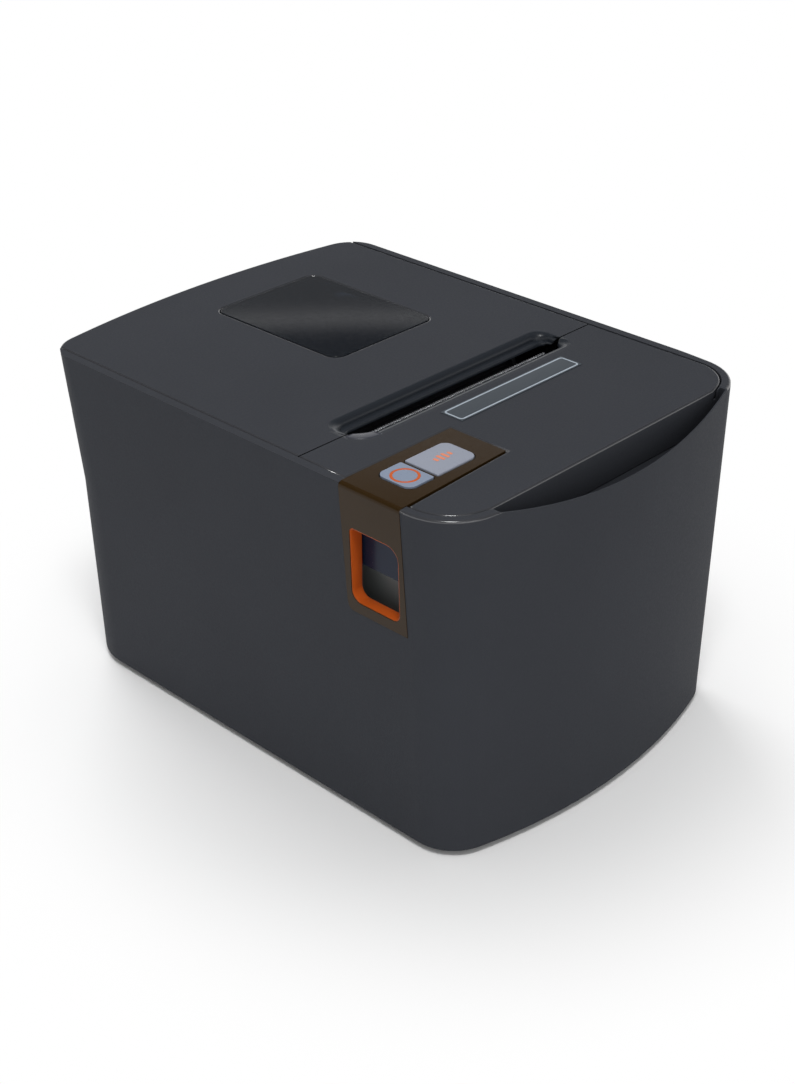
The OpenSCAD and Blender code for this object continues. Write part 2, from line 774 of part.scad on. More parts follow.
module paper_lid() {
    color(case_grey) difference() {
        union() {
            intersection() {
                body_form(0, 0);
                difference() {
                    box([-lid_half_w, cover_hinge_y, plate_z - side_skirt], [lid_half_w, half_depth, top_z]);
                    box([-lid_half_w + skirt_t, cover_hinge_y - over, 0],
                        [lid_half_w - skirt_t, half_depth, plate_z]);
                    box([-half_w, cover_hinge_y - over, 0],
                        [half_w, split_y + skirt_back, plate_z]);
                    box([-half_w, lid_hinge_y - lid_lug_r - over, 0], [half_w, half_depth, plate_z]);
                }
            }
            // Back wall of the paper slot
            box([slot_x0, slot_y1 - 1, top_z - lip_drop + 2 * lip_depth],
                [slot_x1, slot_y1 + lip_ledge, plate_z + sliver]);
            // Back skirt
            intersection() {
                difference() {
                    body_form(0, 0);
                    body_form(wall, over);
                }
                box([-lid_half_w, lid_hinge_y, skirt_z], [lid_half_w, half_depth, plate_z]);
            }
            both_sides() {
                rod_x(lid_lug_x0, lid_lug_x0 + lug_t, lid_hinge_y, lid_hinge_z, lid_lug_r);
                box([lid_lug_x0, lid_hinge_y - lid_lug_r, lid_hinge_z],
                    [lid_lug_x0 + lug_t, lid_hinge_y + lid_lug_r, plate_z + sliver]);
            }
        }
        // Room round the case's hinge bosses
        both_sides() {
            rod_x(lid_lug_x0 + lug_t, half_w, lid_hinge_y, lid_hinge_z, lid_boss_r + rim_gap);
            rod_x(lid_lug_x0 - over, half_w, lid_hinge_y, lid_hinge_z, lid_pin_r + run_fit);
        }
        // Rounded front edge that clears the cover
        rod_x(-half_w, half_w, cover_hinge_y, cover_hinge_z, split_r + gap);
        slot_form(plate_z - side_skirt - over, top_z + over);
        slot_lip();
        window_form(0, top_z - lens_t, top_z + over);
        window_form(lens_ledge, plate_z - over, top_z);
    }
}

module window_form(inset, z0, z1) {
    r = window_r - inset;
    translate([0, 0, z0]) linear_extrude(z1 - z0)
        rounded([window_x0 + inset, window_y0 + inset], [window_x1 - inset, window_y1 - inset],
            [r, r, r, r]);
}

module lid_window() {
    color(smoke) window_form(lens_gap, top_z - lens_t, top_z);
}

module lid_hinge_pins() {
    color(steel) both_sides()
        rod_x(lid_lug_x0 - over, pin_end_x, lid_hinge_y, lid_hinge_z, lid_pin_r);
}

// ---------- platen, carried by the lid ----------

cheek_x0 = platen_len / 2 + 1.7;
cheek_t = 1.8;
beam_y0 = -12;
beam_y1 = -4;
beam_z = 107.8;
bush_x0 = cheek_x0 - 0.7;
bush_x1 = frame_half_w + sheet_t + gap;
collar_r = 3.8;
collar_x1 = bush_x1 + hook_t + 2 * gap;
platen_gear_x = collar_x1 + over;
fixed_blade_z = top_z - 14.4;
fixed_blade_y0 = -22.6;

module platen_carrier() {
    color(inner_grey) difference() {
        union() {
            box([-cheek_x0 - cheek_t, beam_y0, fixed_blade_z + blade_t],
                [cheek_x0 + cheek_t, beam_y1, plate_z]);
            box([-cheek_x0, fixed_blade_y0 + 6, fixed_blade_z + blade_t],
                [cheek_x0, beam_y0, fixed_blade_z + blade_t + 2]);
            both_sides() {
                rod_x(cheek_x0, cheek_x0 + cheek_t, platen_y, platen_z, bush_r + 2.5);
                prism_x(cheek_x0, cheek_x0 + cheek_t, [[platen_y, platen_z - bush_r],
                    [beam_y1, fixed_blade_z + blade_t], [beam_y1, plate_z], [beam_y0, plate_z],
                    [platen_y - bush_r, platen_z]]);
            }
        }
        rod_x(-half_w, half_w, platen_y, platen_z, bush_r);
    }
}

module platen_bushes() {
    color(white_plastic) both_sides() difference() {
        union() {
            rod_x(bush_x0, bush_x1, platen_y, platen_z, bush_r);
            rod_x(bush_x1, collar_x1, platen_y, platen_z, collar_r);
        }
        rod_x(0, half_w, platen_y, platen_z, shaft_r + run_fit);
    }
}

module platen_shaft() {
    color(steel) rod_x(-collar_x1 - over, platen_gear_x + gear_w + over, platen_y, platen_z, shaft_r);
}

module platen_roller() {
    color(rubber_black) difference() {
        rod_x(-platen_len / 2, platen_len / 2, platen_y, platen_z, platen_r);
        rod_x(-half_w, half_w, platen_y, platen_z, shaft_r);
    }
}

// A feed gear facing along X, with one tooth turned to point at angle in the YZ plane
module feed_gear(y, z, teeth, angle, bore_r) {
    translate([platen_gear_x, y, z]) rotate([angle, 0, 0]) rotate([90, 0, 90])
        gear(teeth, feed_module, gear_w, bore_r);
}

// Direction in which the platen leaves its seat as the lid starts to open
leave_angle = atan2(lid_hinge_y - platen_y, platen_z - lid_hinge_z);
feed_reach = (platen_teeth + idler_teeth) * feed_module / 2;
idler_y = platen_y - feed_reach * cos(leave_angle);
idler_z = platen_z - feed_reach * sin(leave_angle);
motor_reach = (idler_teeth + motor_teeth) * feed_module / 2;
motor_angle = -131.7;
motor_y = idler_y + motor_reach * cos(motor_angle);
motor_z = idler_z + motor_reach * sin(motor_angle);
// The idler has a tooth towards the platen, and the platen gear a gap towards the idler
idler_turn = leave_angle;
platen_turn = leave_angle + 180 + 180 / platen_teeth;
// Where the idler's nearest tooth stands against the line to the motor
motor_lag = (motor_angle - idler_turn) * idler_teeth / motor_teeth;
motor_turn = motor_angle + 180 + 180 / motor_teeth + motor_lag;

module platen_gear() {
    color(white_plastic) feed_gear(platen_y, platen_z, platen_teeth, platen_turn, shaft_r);
}

module idler_gear() {
    color(white_plastic) feed_gear(idler_y, idler_z, idler_teeth, idler_turn, stud_r + run_fit);
}

stud_r = 2;
stud_head_r = 3.5;

module idler_stud() {
    color(steel) {
        rod_x(frame_half_w + sheet_t, platen_gear_x + gear_w + gap, idler_y, idler_z, stud_r);
        rod_x(platen_gear_x + gear_w + gap, platen_gear_x + gear_w + gap + over, idler_y, idler_z,
            stud_head_r);
        rod_x(frame_half_w + sheet_t, platen_gear_x - gap, idler_y, idler_z, stud_head_r);
    }
}

motor_shaft_r = 1.5;

module feed_motor() {
    color(steel) difference() {
        union() {
            rod_x(frame_half_w - motor_len, frame_half_w, motor_y, motor_z, motor_r);
            rod_x(frame_half_w - motor_len - 2, frame_half_w - motor_len, motor_y, motor_z, motor_r / 2);
        }
        rod_x(frame_half_w - motor_len / 2, half_w, motor_y, motor_z, motor_shaft_r + run_fit);
    }
}

module motor_pinion() {
    color(steel) {
        feed_gear(motor_y, motor_z, motor_teeth, motor_turn, motor_shaft_r);
        rod_x(frame_half_w - motor_len / 2 + gap, platen_gear_x + gear_w, motor_y, motor_z,
            motor_shaft_r);
    }
}

module fixed_blade() {
    color(steel) prism_x(-cheek_x0, cheek_x0, [[fixed_blade_y0, fixed_blade_z],
        [beam_y0 + 4, fixed_blade_z], [beam_y0 + 4, fixed_blade_z + blade_t],
        [fixed_blade_y0 + blade_t, fixed_blade_z + blade_t]]);
}

// ---------- front cover ----------

lip_wall = 3;
lip_drop = 8.4;
cover_lug_x0 = bay_half_w - case_boss_t - gap - lug_t - 2;
cover_lug_r = 4;
notch_gap = 0.5;
tear_t = 0.8;
tear_top_drop = 1;

module front_cover() {
    color(case_grey) difference() {
        union() {
            intersection() {
                translate([0, 0, plate_z]) linear_extrude(plate_t)
                    polygon(outline(half_w, back_corner_r, front_corner_r, wall + rim_gap));
                union() {
                    box([-half_w, cover_front_y, 0], [half_w, cover_hinge_y, top_z + over]);
                    rod_x(-half_w, half_w, cover_hinge_y, cover_hinge_z, split_r);
                }
            }
            // Skirt behind the finger trough
            box([scoop_x - cover_skirt_half_w, cover_front_y, cover_skirt_z],
                [scoop_x + cover_skirt_half_w, cover_front_y + cover_skirt_t, plate_z]);
            // Front wall of the paper slot
            box([slot_x0, slot_y0 - lip_wall, top_z - lip_drop], [slot_x1, slot_y0 + 1, plate_z]);
            both_sides() {
                rod_x(cover_lug_x0, cover_lug_x0 + lug_t, cover_hinge_y, cover_hinge_z, cover_lug_r);
                box([cover_lug_x0, cover_hinge_y - cover_lug_r, cover_hinge_z],
                    [cover_lug_x0 + lug_t, cover_hinge_y + cover_lug_r, plate_z]);
            }
        }
        both_sides()
            rod_x(cover_lug_x0 - over, half_w, cover_hinge_y, cover_hinge_z, cover_pin_r + run_fit);
        slot_form(top_z - lip_drop - over, top_z + over);
        slot_lip();
        // Room for the platen gear to pass
        box([platen_gear_x - rim_gap, split_y, 0],
            [platen_gear_x + gear_w + over + rim_gap, split_y + split_r, top_z + over]);
        // Notch round the control strip
        linear_extrude(top_z + over) polygon([
            [-half_w - over, strip_y0 - notch_gap], [slant_x, strip_y0 - notch_gap],
            [strip_x1 + notch_gap, strip_y0 + strip_slant - notch_gap],
            [strip_x1 + notch_gap, strip_y1 + notch_gap], [-half_w - over, strip_y1 + notch_gap]]);
    }
}

module cover_hinge_pins() {
    color(steel) both_sides()
        rod_x(cover_lug_x0 - over, pin_end_x, cover_hinge_y, cover_hinge_z, cover_pin_r);
}

module tear_bar() {
    count = floor(tear_w / tear_pitch);
    z_low = top_z - lip_drop;
    z_high = top_z - tear_top_drop;
    teeth = [for (i = [0:count - 1]) each [
        [tear_w / 2 - i * tear_pitch, z_high - tear_pitch / 2],
        [tear_w / 2 - (i + 0.5) * tear_pitch, z_high]]];
    color(steel) {
        prism_y(slot_y0, slot_y0 + tear_t, concat(
            [[-tear_w / 2, z_low - tear_t], [tear_w / 2, z_low - tear_t]], teeth,
            [[-tear_w / 2, z_high - tear_pitch / 2]]));
        box([-tear_w / 2, slot_y0 - lip_wall + 1, z_low - tear_t], [tear_w / 2, slot_y0, z_low]);
    }
}

label_t = 0.15;

module slot_label() {
    color("silver") box([label_x0, label_y0, top_z], [label_x1, label_y1, top_z + label_t]);
}

// ---------- control strip, lever window and buttons ----------

strip_corner_r = 2.5;
bezel_sunk = 0.2;
slant_x = -half_w + strip_fold_r;

// Rectangle with its own radius at each corner, from the low corner round
module rounded(lo, hi, r) {
    polygon([[lo.x + r[0], lo.y], [hi.x - r[1], lo.y], [hi.x, lo.y + r[1]], [hi.x, hi.y - r[2]],
        [hi.x - r[2], hi.y], [lo.x + r[3], hi.y], [lo.x, hi.y - r[3]], [lo.x, lo.y + r[0]]]);
    translate([lo.x + r[0], lo.y + r[0]]) circle(r[0]);
    translate([hi.x - r[1], lo.y + r[1]]) circle(r[1]);
    translate([hi.x - r[2], hi.y - r[2]]) circle(r[2]);
    translate([lo.x + r[3], hi.y - r[3]]) circle(r[3]);
}

// Corner radii of the lever window: front low, back low, back high, front high
lever_win_radii = [2.6, 3.6, 1.4, 4.6];

// Side profile of the lever window in the YZ plane, grown by grow
module lever_window(grow, x_out, x_in) {
    translate([-x_out, 0, 0]) rotate([90, 0, 90]) linear_extrude(x_out - x_in)
        rounded([lever_win_y0 - grow, top_z - lever_win_low - grow],
            [lever_win_y1 + grow, top_z - lever_win_top + grow],
            [for (r = lever_win_radii) r + grow]);
}

// Fold of the strip seen along Y: rounded outside, square for the seat in the case
function fold_round() = let (z = top_z + strip_proud - strip_fold_r)
    arc([-half_w - strip_proud + lean(z) + strip_fold_r, z], strip_fold_r, 90, 180, 8);
function fold_square() = [[-half_w - strip_proud, top_z + strip_proud]];

// Outer form of the strip over the rim and down the side
module strip_form(fold) {
    z0 = top_z - strip_drop;
    z1 = top_z + strip_proud;
    x0 = -half_w - strip_proud;
    difference() {
      intersection() {
        prism_y(strip_y0 - strip_lean - over, strip_y1 + over, concat([[strip_x1, z1]], fold, [
            [x0 + lean(z0), z0], [x0 + lean(z0) + strip_t, z0],
            [x0 + strip_t + lean(z1 - strip_t), z1 - strip_t], [strip_x1, z1 - strip_t]]));
        translate([x0 - over, 0, 0]) rotate([90, 0, 90]) linear_extrude(strip_x1 - x0 + 2 * over)
            union() {
                polygon([[strip_y0, z1 + over], [strip_y0 - strip_lean, z0],
                    [strip_y1 - strip_lean - strip_corner_r, z0],
                    [strip_y1 - strip_lean + strip_lean * strip_corner_r / strip_drop,
                        z0 + strip_corner_r],
                    [strip_y1, z1 + over]]);
                translate([strip_y1 - strip_lean - strip_corner_r, z0 + strip_corner_r])
                    circle(strip_corner_r);
            }
      }
      translate([0, 0, z1 - strip_t - over]) linear_extrude(strip_t + 2 * over)
          polygon([[slant_x, strip_y0], [slant_x, strip_y0 - 2], [strip_x1 + over, strip_y0 - 2],
              [strip_x1 + over, strip_y0 + strip_slant]]);
    }
}

module button_form(x0, x1, left_r, right_r, grow, z0, z1) {
    translate([0, 0, z0]) linear_extrude(z1 - z0)
        rounded([x0 - grow, button_y0 - grow], [x1 + grow, button_y1 + grow],
            [left_r + grow, right_r + grow, right_r + grow, left_r + grow]);
}

button_r = 3;
inner_r = 0.6;
cap_h = 3.4;
button_top_z = top_z + strip_proud + button_proud;

module power_form(grow, z0, z1) {
    button_form(power_x0, power_x1, button_r, inner_r, grow, z0, z1);
}

module feed_form(grow, z0, z1) {
    button_form(feed_x0, feed_x1, inner_r, button_r, grow, z0, z1);
}

module button_holes() {
    power_form(button_gap, pod_z, top_z + over);
    feed_form(button_gap, pod_z, top_z + over);
}

module control_strip() {
    color(strip_brown) difference() {
        strip_form(fold_round());
        button_holes();
        lever_window(bezel_lip_t, half_w + over, half_w - wall - 2 * over);
    }
}

module lever_bezel() {
    z1 = top_z - lever_win_top + 2 * bezel_t;
    z0 = top_z - lever_win_low - 2 * bezel_t;
    x_in = half_w - lean(z1) - bezel_depth;
    color(signal_orange) difference() {
        union() {
            intersection() {
                lever_window(bezel_t, half_w, x_in);
                bezel_depths(z0, z1, x_in, strip_t - strip_proud);
            }
            intersection() {
                lever_window(bezel_lip_t, half_w, x_in);
                bezel_depths(z0, z1, x_in, bezel_sunk - strip_proud);
            }
        }
        lever_window(0, half_w + over, x_in - over);
    }
}

// Space from back inside the case's side to the lining's inner end
module bezel_depths(z0, z1, x_in, back) {
    prism_y(lever_win_y0 - 2 * bezel_t, lever_win_y1 + 2 * bezel_t, [
        [-half_w + lean(z0) + back, z0], [-x_in, z0], [-x_in, z1], [-half_w + lean(z1) + back, z1]]);
}

pod_z = top_z - lever_win_top + bezel_t;
pod_wall = 1.5;
pod_x0 = -bay_half_w + lean(pod_z) + gap;
pod_x1 = strip_x1 - 1;
pod_y0 = strip_y0 + strip_slant + 0.8;
pod_y1 = strip_y1 - 0.3;
pod_top_z = top_z + strip_proud - strip_t;
panel_z = pod_z + 3;

module button_pod() {
    color(inner_grey) difference() {
        box([pod_x0, pod_y0, pod_z], [pod_x1, pod_y1, pod_top_z]);
        box([pod_x0 + pod_wall, pod_y0 + pod_wall, pod_z - over],
            [pod_x1 - pod_wall, pod_y1 - pod_wall, pod_top_z - pod_wall]);
        power_form(button_gap, pod_z, top_z + over);
        feed_form(button_gap, pod_z, top_z + over);
    }
}

module panel_board() {
    color(board_green) box([pod_x0 + pod_wall, pod_y0 + pod_wall, panel_z],
        [pod_x1 - pod_wall, pod_y1 - pod_wall, panel_z + board_t]);
}

switch_w = 6;
switch_h = 3;
plunger_r = 1.7;
stem_r = 2;
stem_gap = 0.9;
power_mid = [(power_x0 + power_x1) / 2, (button_y0 + button_y1) / 2];
feed_mid = [(feed_x0 + feed_x1) / 2, (button_y0 + button_y1) / 2];
switch_top_z = panel_z + board_t + switch_h + over;

module button_switches() {
    color(steel) for (p = [power_mid, feed_mid]) {
        box([p.x - switch_w / 2, p.y - switch_w / 2, panel_z + board_t],
            [p.x + switch_w / 2, p.y + switch_w / 2, panel_z + board_t + switch_h]);
        rod_z(panel_z + board_t + switch_h, switch_top_z, p.x, p.y, plunger_r);
    }
}

module power_button() {
    color(button_grey) difference() {
        union() {
            power_form(0, button_top_z - cap_h, button_top_z);
            rod_z(switch_top_z + stem_gap, button_top_z - cap_h, power_mid.x, power_mid.y, stem_r);
        }
        rod_z(button_top_z - ring_w, button_top_z + over, power_mid.x, power_mid.y, ring_r);
    }
    color(button_grey)
        rod_z(button_top_z - ring_w, button_top_z, power_mid.x, power_mid.y, ring_r - ring_w);
}

module power_ring() {
    color(signal_orange) difference() {
        rod_z(button_top_z - ring_w, button_top_z, power_mid.x, power_mid.y, ring_r);
        rod_z(button_top_z - ring_w - over, button_top_z + over, power_mid.x, power_mid.y,
            ring_r - ring_w);
    }
}

module feed_button() {
    color(button_grey) {
        feed_form(0, button_top_z - cap_h, button_top_z);
        rod_z(switch_top_z + stem_gap, button_top_z - cap_h, feed_mid.x, feed_mid.y, stem_r);
    }
}

// ---------- release lever and latch ----------

lever_x0 = -half_w + bezel_depth + 1.1;
well_x = lever_x0 + lever_t + 0.8;
well_t = 1.2;
pad_y0 = -68;
pad_y1 = -49.4;
pad_z0 = pod_z - 15.3;
pad_z1 = pod_z - 1;
hook_x0 = frame_half_w + sheet_t + 2 * gap;
hook_x1 = hook_x0 + hook_t;
nose_y = platen_y - collar_r - 1.1;
lever_boss_r = 6;

module lever_wall() {
    color(inner_grey) difference() {
        box([well_x, deck_y0 + 2, deck_z], [well_x + well_t, latch_y + 8, pod_z]);
        rod_x(-half_w, 0, latch_y, latch_z, latch_r + run_fit);
    }
}

module release_lever() {
    color(rubber_black) difference() {
        union() {
            box([lever_x0, pad_y0, pad_z0], [lever_x0 + lever_t, pad_y1, pad_z1]);
            prism_x(lever_x0 + 1, lever_x0 + lever_t, [[pad_y1 - 1, pad_z0 + 1], [latch_y - 5, latch_z - 4],
                [latch_y + 3, latch_z + 5], [pad_y1 - 1, pad_z1]]);
            rod_x(lever_x0 + 1, lever_x0 + lever_t, latch_y, latch_z, lever_boss_r);
        }
        rod_x(lever_x0 - over, 0, latch_y, latch_z, latch_r);
    }
}

module latch_shaft() {
    color(steel) rod_x(lever_x0 + 1, hook_x1 + gap, latch_y, latch_z, latch_r);
}

module latch_hooks() {
    color(steel) both_sides() difference() {
        union() {
            rod_x(hook_x0, hook_x1, latch_y, latch_z, latch_r + 3);
            prism_x(hook_x0, hook_x1, [[latch_y - 4, latch_z], [latch_y + 4.5, latch_z],
                [nose_y - 2.4, platen_z - 2], [nose_y - 2.4, platen_z + collar_r],
                [nose_y, platen_z + collar_r + 1], [nose_y - 1, platen_z + collar_r + 4.5],
                [nose_y - 6.4, platen_z + collar_r + 3]]);
        }
        rod_x(0, half_w, latch_y, latch_z, latch_r);
    }
}

spring_wire_r = 0.5;

module lever_spring() {
    length = -hook_x1 - gap - well_x - well_t;
    color(steel) {
        translate([well_x + well_t, latch_y, latch_z]) rotate([0, 90, 0])
            coil(latch_r + 3 * spring_wire_r, spring_wire_r, 5, length);
        rod_z(latch_z - 14, latch_z, well_x + well_t + spring_wire_r,
            latch_y - latch_r - 3 * spring_wire_r, spring_wire_r);
    }
}

// ---------- print head and frame ----------

head_t = 1.2;
head_y1 = platen_y - platen_r - head_gap;
head_y0 = head_y1 - head_t;
head_z0 = latch_z + latch_r + 2;
head_z1 = platen_z + 1.5;
sink_t = 6.3;
head_travel = 0.5;
head_half_w = platen_len / 2 + 0.5;
sink_half_w = frame_half_w - 0.4;
spring_bar_y1 = head_y0 - sink_t - 5.5;
head_spring_r = 2.4;
head_spring_x = 20;
head_spring_z = (head_z0 + head_z1) / 2;

module print_head() {
    color(white_plastic) box([-head_half_w, head_y0, head_z0], [head_half_w, head_y1, head_z1]);
}

module head_heatsink() {
    color(steel) difference() {
        box([-sink_half_w, head_y0 - sink_t, head_z0], [sink_half_w, head_y0, head_z1 - 0.5]);
        for (z = [head_z0 + 2.5, head_z0 + 9.5])
            box([-sink_half_w - over, head_y0 - sink_t - over, z],
                [sink_half_w + over, head_y0 - sink_t + 3, z + 1.6]);
    }
}

module head_springs() {
    length = head_y0 - sink_t - head_travel - 0.05 - spring_bar_y1;
    color(steel) both_sides()
        translate([head_spring_x, spring_bar_y1, head_spring_z]) rotate([-90, 0, 0])
            coil(head_spring_r, spring_wire_r, 4, length);
}

frame_y0 = -62;
frame_y1 = -6;
frame_top_z = fixed_blade_z + 1;
cutter_deck_z = fixed_blade_z - 3;

module mech_frame() {
    outer = frame_half_w + sheet_t;
    color(steel) {
        difference() {
            box([-frame_half_w, frame_y0, deck_z], [frame_half_w, beam_y0 - 3, deck_z + sheet_t]);
            cable_passage();
            both_sides() rod_z(0, top_z, frame_screw_x, frame_screw_y, board_screw_r);
        }
        box([-frame_half_w, spring_bar_y1 - sheet_t, head_z0 - 4], [frame_half_w, spring_bar_y1, head_z1]);
        both_sides() difference() {
            box([frame_half_w, frame_y0, deck_z], [outer, frame_y1, frame_top_z]);
            // Seat for the platen's bush, open at the top
            rod_x(0, half_w, platen_y, platen_z, bush_r + gap);
            prism_x(0, half_w, [[platen_y - bush_r - gap, platen_z], [platen_y + bush_r + gap, platen_z],
                [platen_y + bush_r + 3, frame_top_z + over],
                [platen_y - bush_r - 3, frame_top_z + over],
                [platen_y - bush_r - 1.5, platen_z + 3]]);
            rod_x(0, half_w, latch_y, latch_z, latch_r + run_fit);
            rod_x(0, half_w, motor_y, motor_z, motor_shaft_r + 2);
        }
    }
}

frame_screw_x = frame_half_w - 7;
frame_screw_y = frame_y0 + 6;

module frame_screws() {
    color(steel) both_sides() {
        rod_z(deck_z - deck_t, deck_z + sheet_t, frame_screw_x, frame_screw_y, board_screw_r);
        rod_z(deck_z + sheet_t, deck_z + sheet_t + screw_head_h, frame_screw_x, frame_screw_y,
            screw_head_r);
    }
}

// ---------- cutter ----------

cutter_y0 = -80;
guide_w = 4;
blade_half_w = frame_half_w - guide_w - 0.5;
blade_z = fixed_blade_z - 0.4 - blade_t;
blade_y0 = -50;
blade_y1 = fixed_blade_y0 - 2.3;
cutter_gear_x = frame_half_w - 27;
cutter_gear_y = -66;
cutter_gear_z = cutter_deck_z + gap;
cutter_gear_w = 2;
rack_r = rack_teeth * rack_module / 2;
rack_z0 = blade_z + blade_t + gap;
rack_z1 = rack_z0 + 3;
cutter_reach = (cutter_teeth + cutter_motor_teeth) * cutter_module / 2;
cutter_motor_angle = 30;
cutter_motor_x = cutter_gear_x + cutter_reach * cos(cutter_motor_angle);
cutter_motor_y = cutter_gear_y + cutter_reach * sin(cutter_motor_angle);
cutter_pin_r = 2;
cutter_shaft_r = 1;

module cutter_frame() {
    color(steel) difference() {
        union() {
            box([-frame_half_w, cutter_y0, cutter_deck_z - sheet_t],
                [frame_half_w, split_y - 0.8, cutter_deck_z]);
            both_sides() {
                box([frame_half_w - guide_w, blade_y0, cutter_deck_z],
                    [frame_half_w, split_y - 0.8, frame_top_z]);
                box([frame_half_w - guide_w - 5, blade_y0, cutter_deck_z],
                    [frame_half_w - guide_w, split_y - 0.8, blade_z - gap]);
            }
        }
        rod_z(0, top_z, cutter_motor_x, cutter_motor_y, cutter_shaft_r + gap);
    }
}

module moving_blade() {
    color(steel) prism_x(-blade_half_w, blade_half_w, [[blade_y0, blade_z], [blade_y1 - blade_t, blade_z],
        [blade_y1, blade_z + blade_t], [blade_y0, blade_z + blade_t]]);
}

rack_count = 4;
rack_bar = 6;
rack_end = 0.25;

module blade_carriage() {
    pitch = PI * rack_module;
    half_tip = pitch / 4 - backlash / 2 - addendum * rack_module * tan(pressure);
    half_root = pitch / 4 - backlash / 2 + dedendum * rack_module * tan(pressure);
    x_pitch = cutter_gear_x - rack_r;
    x_root = x_pitch - dedendum * rack_module;
    x_tip = x_pitch + addendum * rack_module;
    color(white_plastic) {
        box([x_root - rack_bar, blade_y0 - 2 * gap, blade_z + blade_t],
            [x_root + rack_bar, blade_y0 + rack_bar, rack_z1]);
        translate([0, 0, rack_z0]) linear_extrude(rack_z1 - rack_z0) polygon(concat(
            [[x_root, blade_y0], [x_root - rack_bar, blade_y0],
                [x_root - rack_bar, cutter_gear_y - (rack_count + rack_end) * pitch],
                [x_root, cutter_gear_y - (rack_count + rack_end) * pitch]],
            [for (k = [-rack_count:2]) each let (y = cutter_gear_y + (k + 0.5) * pitch) [
                [x_root, y - half_root], [x_tip, y - half_tip], [x_tip, y + half_tip],
                [x_root, y + half_root]]]));
    }
}

module cutter_gear() {
    color(white_plastic) translate([cutter_gear_x, cutter_gear_y, cutter_gear_z]) {
        gear(cutter_teeth, cutter_module, cutter_gear_w, cutter_pin_r + run_fit);
        translate([0, 0, cutter_gear_w]) rotate([0, 0, 180])
            gear(rack_teeth, rack_module, rack_z1 - cutter_gear_z - cutter_gear_w,
                cutter_pin_r + run_fit);
    }
}

module cutter_gear_pin() {
    color(steel) {
        rod_z(cutter_deck_z, rack_z1 + gap, cutter_gear_x, cutter_gear_y, cutter_pin_r);
        rod_z(rack_z1 + gap, rack_z1 + gap + over, cutter_gear_x, cutter_gear_y, cutter_pin_r + 1.5);
    }
}

module cutter_motor() {
    color(steel) difference() {
        rod_z(cutter_deck_z - sheet_t - cutter_motor_len, cutter_deck_z - sheet_t, cutter_motor_x,
            cutter_motor_y, cutter_motor_r);
        rod_z(cutter_deck_z - sheet_t - cutter_motor_len / 2, top_z, cutter_motor_x, cutter_motor_y,
            cutter_shaft_r + run_fit);
    }
}

// The cutter gear has a tooth along +X; the pinion's gap faces the gear's nearest tooth
cutter_lag = cutter_motor_angle * cutter_teeth / cutter_motor_teeth;
cutter_turn = cutter_motor_angle + 180 + 180 / cutter_motor_teeth + cutter_lag;

module cutter_pinion() {
    color(steel) {
        translate([cutter_motor_x, cutter_motor_y, cutter_gear_z]) rotate([0, 0, cutter_turn])
            gear(cutter_motor_teeth, cutter_module, cutter_gear_w, cutter_shaft_r);
        rod_z(cutter_deck_z - sheet_t - cutter_motor_len / 2 + gap, cutter_gear_z + cutter_gear_w,
            cutter_motor_x, cutter_motor_y, cutter_shaft_r);
    }
}

// ---------- electronics ----------

module main_board() {
    color(board_green) difference() {
        box([-board_w / 2, board_y0, board_z], [board_w / 2, board_y1, port_z]);
        for (x = [-1, 1])
            for (y = board_post_y)
                rod_z(0, top_z, x * board_post_x, y, board_screw_r);
    }
}

module board_chips() {
    // Middle as a share of the board, then width, depth and height
    color(rubber_black) for (c = [[-0.23, 0.36, 0.13, 0.13, 1.6], [0.12, 0.42, 0.17, 0.1, 2],
        [0.33, 0.2, 0.12, 0.12, 4], [-0.29, 0.18, 0.15, 0.09, 2.4]]) {
        mid = [c[0] * board_w, board_y0 + c[1] * (board_y1 - board_y0)];
        half = [c[2] * board_w / 2, c[3] * board_w / 2];
        box([mid.x - half.x, mid.y - half.y, port_z], [mid.x + half.x, mid.y + half.y, port_z + c[4]]);
    }
}

module board_screws() {
    color(steel) for (x = [-1, 1])
        for (y = board_post_y) {
            rod_z(base_z, port_z, x * board_post_x, y, board_screw_r);
            rod_z(port_z, port_z + screw_head_h, x * board_post_x, y, screw_head_r);
        }
}

// A socket housing with its opening facing the back
module socket(p, wall_t, depth) {
    lo = port_lo(p);
    hi = port_hi(p);
    difference() {
        box(lo, hi);
        box([lo.x + wall_t, hi.y - depth, lo.z + wall_t], [hi.x - wall_t, hi.y + over, hi.z - wall_t]);
    }
}

jack_hole_r = 4;
jack_pin_r = 1.05;
jack_depth = 10;

module power_jack() {
    z = port_z + jack[2] / 2;
    color(rubber_black) {
        difference() {
            box(port_lo(jack), port_hi(jack));
            rod_y(port_face(jack) - jack_depth, half_depth + over, jack[0], z, jack_hole_r);
        }
        rod_y(port_face(jack) - jack_depth, port_face(jack) - 1, jack[0], z, jack_pin_r);
    }
}

module usb_port() {
    color(steel) {
        socket(usb, 1.4, 9);
        box([usb[0] - 2.6, port_face(usb) - 9, port_z + 4],
            [usb[0] + 2.6, port_face(usb) - 1.5, port_z + 6.5]);
    }
}

module lan_port() {
    color(steel) socket(lan, 1.6, 13);
}

module drawer_port() {
    color(rubber_black) socket(drawer, 1.6, 11);
}

cable_w = 40;
cable_x = -8;
cable_y = -31;
cable_t = 0.4;
cable_room = 3;

module cable_passage() {
    box([cable_x - cable_w / 2 - over, cable_y - cable_room, deck_z - deck_t - over],
        [cable_x + cable_w / 2 + over, cable_y + cable_room, deck_z + deck_t]);
}

module head_cable() {
    color(white_plastic) box([cable_x - cable_w / 2, cable_y, port_z],
        [cable_x + cable_w / 2, cable_y + cable_t, head_z0 - gap]);
}

buzzer_r = 6;
buzzer_h = 6;
buzzer_x = board_w / 2 - 2 * buzzer_r;
buzzer_y = bin_y - 14;

